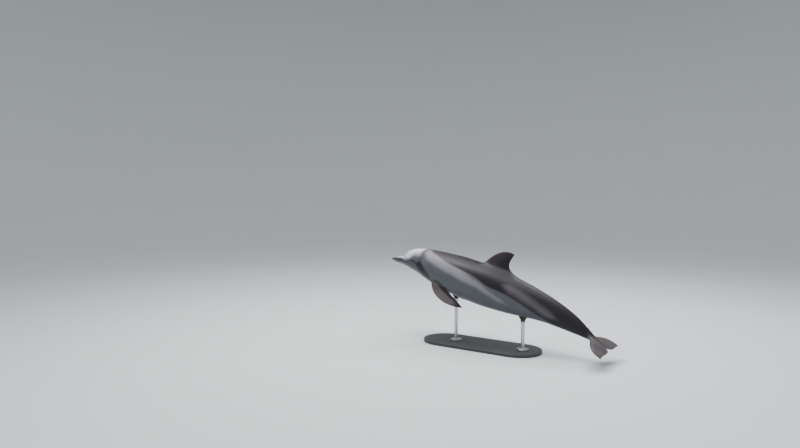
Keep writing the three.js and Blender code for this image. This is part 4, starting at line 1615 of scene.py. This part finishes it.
def cup_rings(node):
    """A rubber cup that fits the belly; the rim follows the skin."""
    foot, wide, _ = foot_of(node)
    angles = np.linspace(0, 2 * np.pi, ROUND_SIDES, endpoint=False)
    outline = (
        # radius, height over the foot, share of the belly's shape, depth under the belly
        (20.0, 0.0, 0.0, 0), (22.5, 0.5, 0.0, 0), (23.5, 2.0, 0.0, 0), (23.5, 6.0, 0.0, 0),
        (22.0, 8.0, 0.0, 0), (22.0, 10.0, 0.1, 28), (24.0, 12.0, 0.3, 24), (28.0, 14.0, 0.6, 18),
        (wide - 6, 16.0, 0.9, 13.5), (wide - 2.5, 0, 1.0, 11.0), (wide - 0.8, 0, 1.0, 8.5),
        (wide, 0, 1.0, 6.0), (wide - 0.2, 0, 1.0, 3.0), (wide - 1.2, 0, 1.0, 0.8),
        (wide - 2.6, 0, 1.0, -0.2), (wide - 5, 0, 1.0, -0.3), (wide * 0.6, 0, 1.0, -0.3),
        (wide * 0.25, 0, 1.0, -0.3),
    )
    rings = []
    for radius, up, share, deep in outline:
        x, y = (foot[k] + radius * MM * turn(angles) for k, turn in enumerate((np.cos, np.sin)))
        z = (foot[2] + up * MM) * (1 - share) + (belly_height(x, y) - deep * MM) * share
        rings.append(np.stack([x, y, z], -1))
    return rings


SCREW_SIDES = 24


def screw_head(name):
    """A cap screw's head with a six-sided socket, standing on the origin."""
    angles = np.linspace(0, 2 * np.pi, SCREW_SIDES, endpoint=False)
    six = np.cos(np.pi / 6) / np.cos((angles + np.pi / 6) % (np.pi / 3) - np.pi / 6)
    outline = (
        # radius, height, 1 where it is six-sided
        (5.2, 0.0, 0), (5.5, 0.4, 0), (5.5, 4.2, 0), (5.25, 4.8, 0), (4.7, 5.0, 0),
        (3.4, 5.0, 1), (3.0, 4.7, 1), (3.0, 2.2, 1),
    )
    rings = []
    for radius, up, hexagonal in outline:
        reach = radius * (six * hexagonal + 1 - hexagonal) * MM
        heights = np.full(SCREW_SIDES, up * MM)
        rings.append(np.stack([reach * np.cos(angles), reach * np.sin(angles), heights], -1))
    return turned(name, rings, 30)


def screw_ring_tree():
    """Sets copies of the geometry in a ring, each turned by chance about its axis."""
    if "Screw ring" in bpy.data.node_groups:
        return bpy.data.node_groups["Screw ring"]
    kinds = {"Geometry": "Geometry", "Count": "Int", "Radius": "Float"}
    kinds.update({"Centre": "Vector", "Seed": "Int", "Finish": "Material"})
    tree, given, result = new_group(
        "Screw ring",
        [(label, "NodeSocket" + kind, None) for label, kind in kinds.items()],
        [("Geometry", "NodeSocketGeometry")],
        "GeometryNodeTree",
    )

    def then(kind, **values):
        """Adds a geometry node with these inputs and returns its first output."""
        return put(tree, kind, values).outputs[0]

    ring = then("GeometryNodeMeshCircle", Vertices=given["Count"], Radius=given["Radius"])
    shift, turn = given["Centre"], (0, 0, math.pi / 4)
    moved = then("GeometryNodeTransform", Geometry=ring, Translation=shift, Rotation=turn)
    turn = put(tree, "FunctionNodeRandomValue", {"Seed": given["Seed"]}, data_type="FLOAT_VECTOR")
    give(tree, turn, {"Min": (0, 0, 0), "Max": (0, 0, math.tau)})
    spin = then("FunctionNodeEulerToRotation", Euler=turn.outputs[0])
    head = given["Geometry"]
    copies = then("GeometryNodeInstanceOnPoints", Points=moved, Instance=head, Rotation=spin)
    real = then("GeometryNodeRealizeInstances", Geometry=copies)
    done = then("GeometryNodeSetMaterial", Geometry=real, Material=given["Finish"])
    tree.links.new(done, result["Geometry"])
    return tree


def screw_ring(name, centre, settings, material):
    """The screws of one flange, as one piece of plain mesh."""
    piece = screw_head(name)
    piece.data.materials.append(material)
    tree = screw_ring_tree()
    modifier = piece.modifiers.new("Screw ring", "NODES")
    modifier.node_group = tree
    values = {"Count": settings.screws, "Radius": settings.screw_circle, "Centre": tuple(centre)}
    values.update({"Seed": 7, "Finish": material})
    for item in tree.interface.items_tree:
        if item.in_out == "INPUT" and item.name in values:
            modifier[item.identifier] = values[item.name]
    piece.update_tag()
    seen = piece.evaluated_get(bpy.context.evaluated_depsgraph_get())
    mesh = bpy.data.meshes.new_from_object(seen)
    piece.modifiers.clear()
    piece.data = mesh
    if len(mesh.polygons) < settings.screws * SCREW_SIDES:
        raise RuntimeError("the ring of screws came out empty")
    return piece


# ---------------------------------------------------------------- operators

EYE_RINGS, EYE_SIDES = 32, 64
FLOOR_SIDES = 96


class DOLPHIN_OT_skin(bpy.types.Operator):
    """Make the one skin that covers body, beak, fins and flukes"""

    bl_idname = "dolphin.make_skin"
    bl_label = "Make skin"

    def execute(self, context):
        settings = context.scene.dolphin_skin
        points, tags, faces = build_skin(settings)
        fields, flow = paint_fields(points, tags)
        piece = mesh_object("dolphin_skin", points * MM + frame_shift(), faces)
        for name, values in fields.items():
            store(piece, name, values)
        store(piece, "flow", flow, "FLOAT_VECTOR")
        point_outwards(piece)
        flesh = [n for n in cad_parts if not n.startswith(("stand_", "eye_"))]
        finish_piece(piece, skin_material(settings), "trunk_middle", *flesh)
        return {"FINISHED"}


class DOLPHIN_OT_eyes(bpy.types.Operator):
    """Make the two glass eyes"""

    bl_idname = "dolphin.make_eyes"
    bl_label = "Make eyes"

    def execute(self, context):
        material = eye_material(context.scene.dolphin_eye)
        for side, mirror in (("left", 1), ("right", -1)):
            centre, radius = sum(box_of(f"eye_{side}")) / 2, EYE["radius"] * MM
            latitudes = np.linspace(0, np.pi, EYE_RINGS + 2)[1:-1]
            longitudes = np.linspace(0, 2 * np.pi, EYE_SIDES, endpoint=False)
            la, lo = np.meshgrid(latitudes, longitudes, indexing="ij")
            ball = np.stack([np.cos(la), np.sin(la) * np.cos(lo), np.sin(la) * np.sin(lo)], -1)
            gaze, faces = shell(ball, {0: (1.0, 0, 0), -1: (-1.0, 0, 0)})
            points = gaze * (mirror, 1, 1) * radius + centre
            piece = mesh_object(f"glass_eye_{side}", points, faces)
            store(piece, "gaze", gaze, "FLOAT_VECTOR")
            point_outwards(piece)
            finish_piece(piece, material, f"eye_{side}", f"eye_{side}")
        return {"FINISHED"}


class DOLPHIN_OT_stand(bpy.types.Operator):
    """Make the display stand"""

    bl_idname = "dolphin.make_stand"
    bl_label = "Make stand"

    def execute(self, context):
        settings = context.scene.dolphin_stand
        paint, steel, rubber = painted_material(settings), steel_material(), rubber_material()
        finish_piece(turned("plinth", base_rings(settings)), paint, "stand_base", "stand_base")
        for side in ("front", "rear"):
            node = f"stand_flange_{side}"
            foot, wide, height = foot_of(node)
            rings = circles(flange_outline(wide, height), foot)
            finish_piece(turned(f"flange_{side}", rings), steel, node, node)
            top = foot + (0, 0, height * MM)
            finish_piece(screw_ring(f"flange_screws_{side}", top, settings, steel), steel, node)

            node = f"stand_rod_{side}"
            foot, wide, height = foot_of(node)
            rings = circles(rod_outline(wide, height), foot)
            finish_piece(turned(f"rod_{side}", rings), steel, node, node)

            node = f"stand_pad_{side}"
            finish_piece(turned(f"cup_{side}", cup_rings(node)), rubber, node, node)
        return {"FINISHED"}


CAMERA_OFF_TIP = Vector((5.4386, 3.8571, 0.693))  # metres from the tip of the beak
FLOOR_OUTLINE = (  # radius and height, in metres
    (3.0, 0.0), (6.0, 0.0), (9.0, 0.0), (11.0, 0.15), (12.5, 0.6), (13.6, 1.4), (14.4, 2.6),
    (14.8, 4.0), (15.0, 6.0), (15.0, 14.0),
)
LAMPS = (  # name, place, where it points, size in metres, watts, colour
    ("ceiling", (0.0, 0.0, 9.0), (0, 0, 0), 9.0, 1100, (0.96, 0.98, 1.0)),
    ("key", (0.8, -1.6, 4.8), (0, -0.4, 0.7), 1.8, 170, (1.0, 0.98, 0.95)),
    ("fill", (4.8, 3.0, 2.6), (0, 0.1, 0.6), 3.0, 30, (0.9, 0.96, 1.0)),
    ("rim", (-3.0, 0.8, 4.4), (0, 0.2, 0.7), 1.6, 90, (0.95, 0.98, 1.0)),
)


def aimed(name, data, place, look):
    """Sets a camera or a lamp at a place, looking along a direction."""
    thing = bpy.data.objects.new(name, data)
    bpy.context.collection.objects.link(thing)
    thing.location = place
    thing.rotation_mode = "QUATERNION"
    thing.rotation_quaternion = look.to_track_quat("-Z", "Y")
    return thing


class DOLPHIN_OT_stage(bpy.types.Operator):
    """Make the floor, the lights and the camera"""

    bl_idname = "dolphin.make_stage"
    bl_label = "Make stage"

    def execute(self, context):
        settings = context.scene.dolphin_stage
        lens = bpy.data.cameras.new("Camera")
        lens.lens, lens.sensor_width, lens.clip_end = settings.lens, 36.0, 200
        lens.dof.use_dof = False
        level = math.cos(settings.tilt)
        ahead = (-math.cos(settings.heading) * level, -math.sin(settings.heading) * level)
        look = Vector((*ahead, -math.sin(settings.tilt)))
        context.scene.camera = aimed("Camera", lens, Vector(frame_shift()) + CAMERA_OFF_TIP, look)

        # a floor that sweeps up into a backdrop all round, far from the model
        rings = circles(FLOOR_OUTLINE, (0, 0, 0), FLOOR_SIDES) / MM
        floor = mesh_object("floor", *shell(rings, {0: (0, 0, 0)}))
        material, tree, shader = new_material("Floor")
        clouds = placed(tree, mottle_group(), Vector=object_place(tree), Scale=0.8)
        tone = maths(tree, "MULTIPLY_ADD", clouds["Clouds"], 0.01, 1.0)
        give(tree, shader, {"Base Color": toned(tree, settings.floor, tone), "Roughness": 0.85})
        floor.data.materials.append(material)

        world = bpy.data.worlds.new("Studio")
        world.use_nodes = True
        air = {"Color": (0.88, 0.94, 1.0, 1), "Strength": 0.45}
        give(world.node_tree, world.node_tree.nodes["Background"], air)
        context.scene.world = world
        for name, place, target, size, power, colour in LAMPS:
            light = bpy.data.lights.new(name, "AREA")
            light.shape, light.size, light.energy, light.color = "SQUARE", size, power, colour
            aimed(name, light, Vector(place), Vector(target) - Vector(place))
        return {"FINISHED"}


class DOLPHIN_PT_panel(bpy.types.Panel):
    """Lists the dolphin's makers"""

    bl_idname = "DOLPHIN_PT_panel"
    bl_label = "Museum dolphin"
    bl_space_type = "VIEW_3D"
    bl_region_type = "UI"
    bl_category = "Dolphin"

    def draw(self, context):
        scene = context.scene
        for label, maker, group in (
            ("Skin", "dolphin.make_skin", scene.dolphin_skin),
            ("Eyes", "dolphin.make_eyes", scene.dolphin_eye),
            ("Stand", "dolphin.make_stand", scene.dolphin_stand),
            ("Stage", "dolphin.make_stage", scene.dolphin_stage),
        ):
            box = self.layout.box()
            box.label(text=label)
            for name in group.bl_rna.properties.keys():
                if name not in ("rna_type", "name"):
                    box.prop(group, name)
            box.operator(maker)


CLASSES = (
    SkinSettings,
    EyeSettings,
    StandSettings,
    StageSettings,
    DOLPHIN_OT_skin,
    DOLPHIN_OT_eyes,
    DOLPHIN_OT_stand,
    DOLPHIN_OT_stage,
    DOLPHIN_PT_panel,
)


def register():
    for cls in CLASSES:
        bpy.utils.register_class(cls)
    scene = bpy.types.Scene
    scene.dolphin_skin = bpy.props.PointerProperty(type=SkinSettings)
    scene.dolphin_eye = bpy.props.PointerProperty(type=EyeSettings)
    scene.dolphin_stand = bpy.props.PointerProperty(type=StandSettings)
    scene.dolphin_stage = bpy.props.PointerProperty(type=StageSettings)


def unregister():
    for name in ("dolphin_skin", "dolphin_eye", "dolphin_stand", "dolphin_stage"):
        delattr(bpy.types.Scene, name)
    for cls in reversed(CLASSES):
        bpy.utils.unregister_class(cls)


def main():
    register()
    bpy.ops.dolphin.make_stage()
    bpy.ops.dolphin.make_skin()
    bpy.ops.dolphin.make_eyes()
    bpy.ops.dolphin.make_stand()


if __name__ == "__main__":
    main()
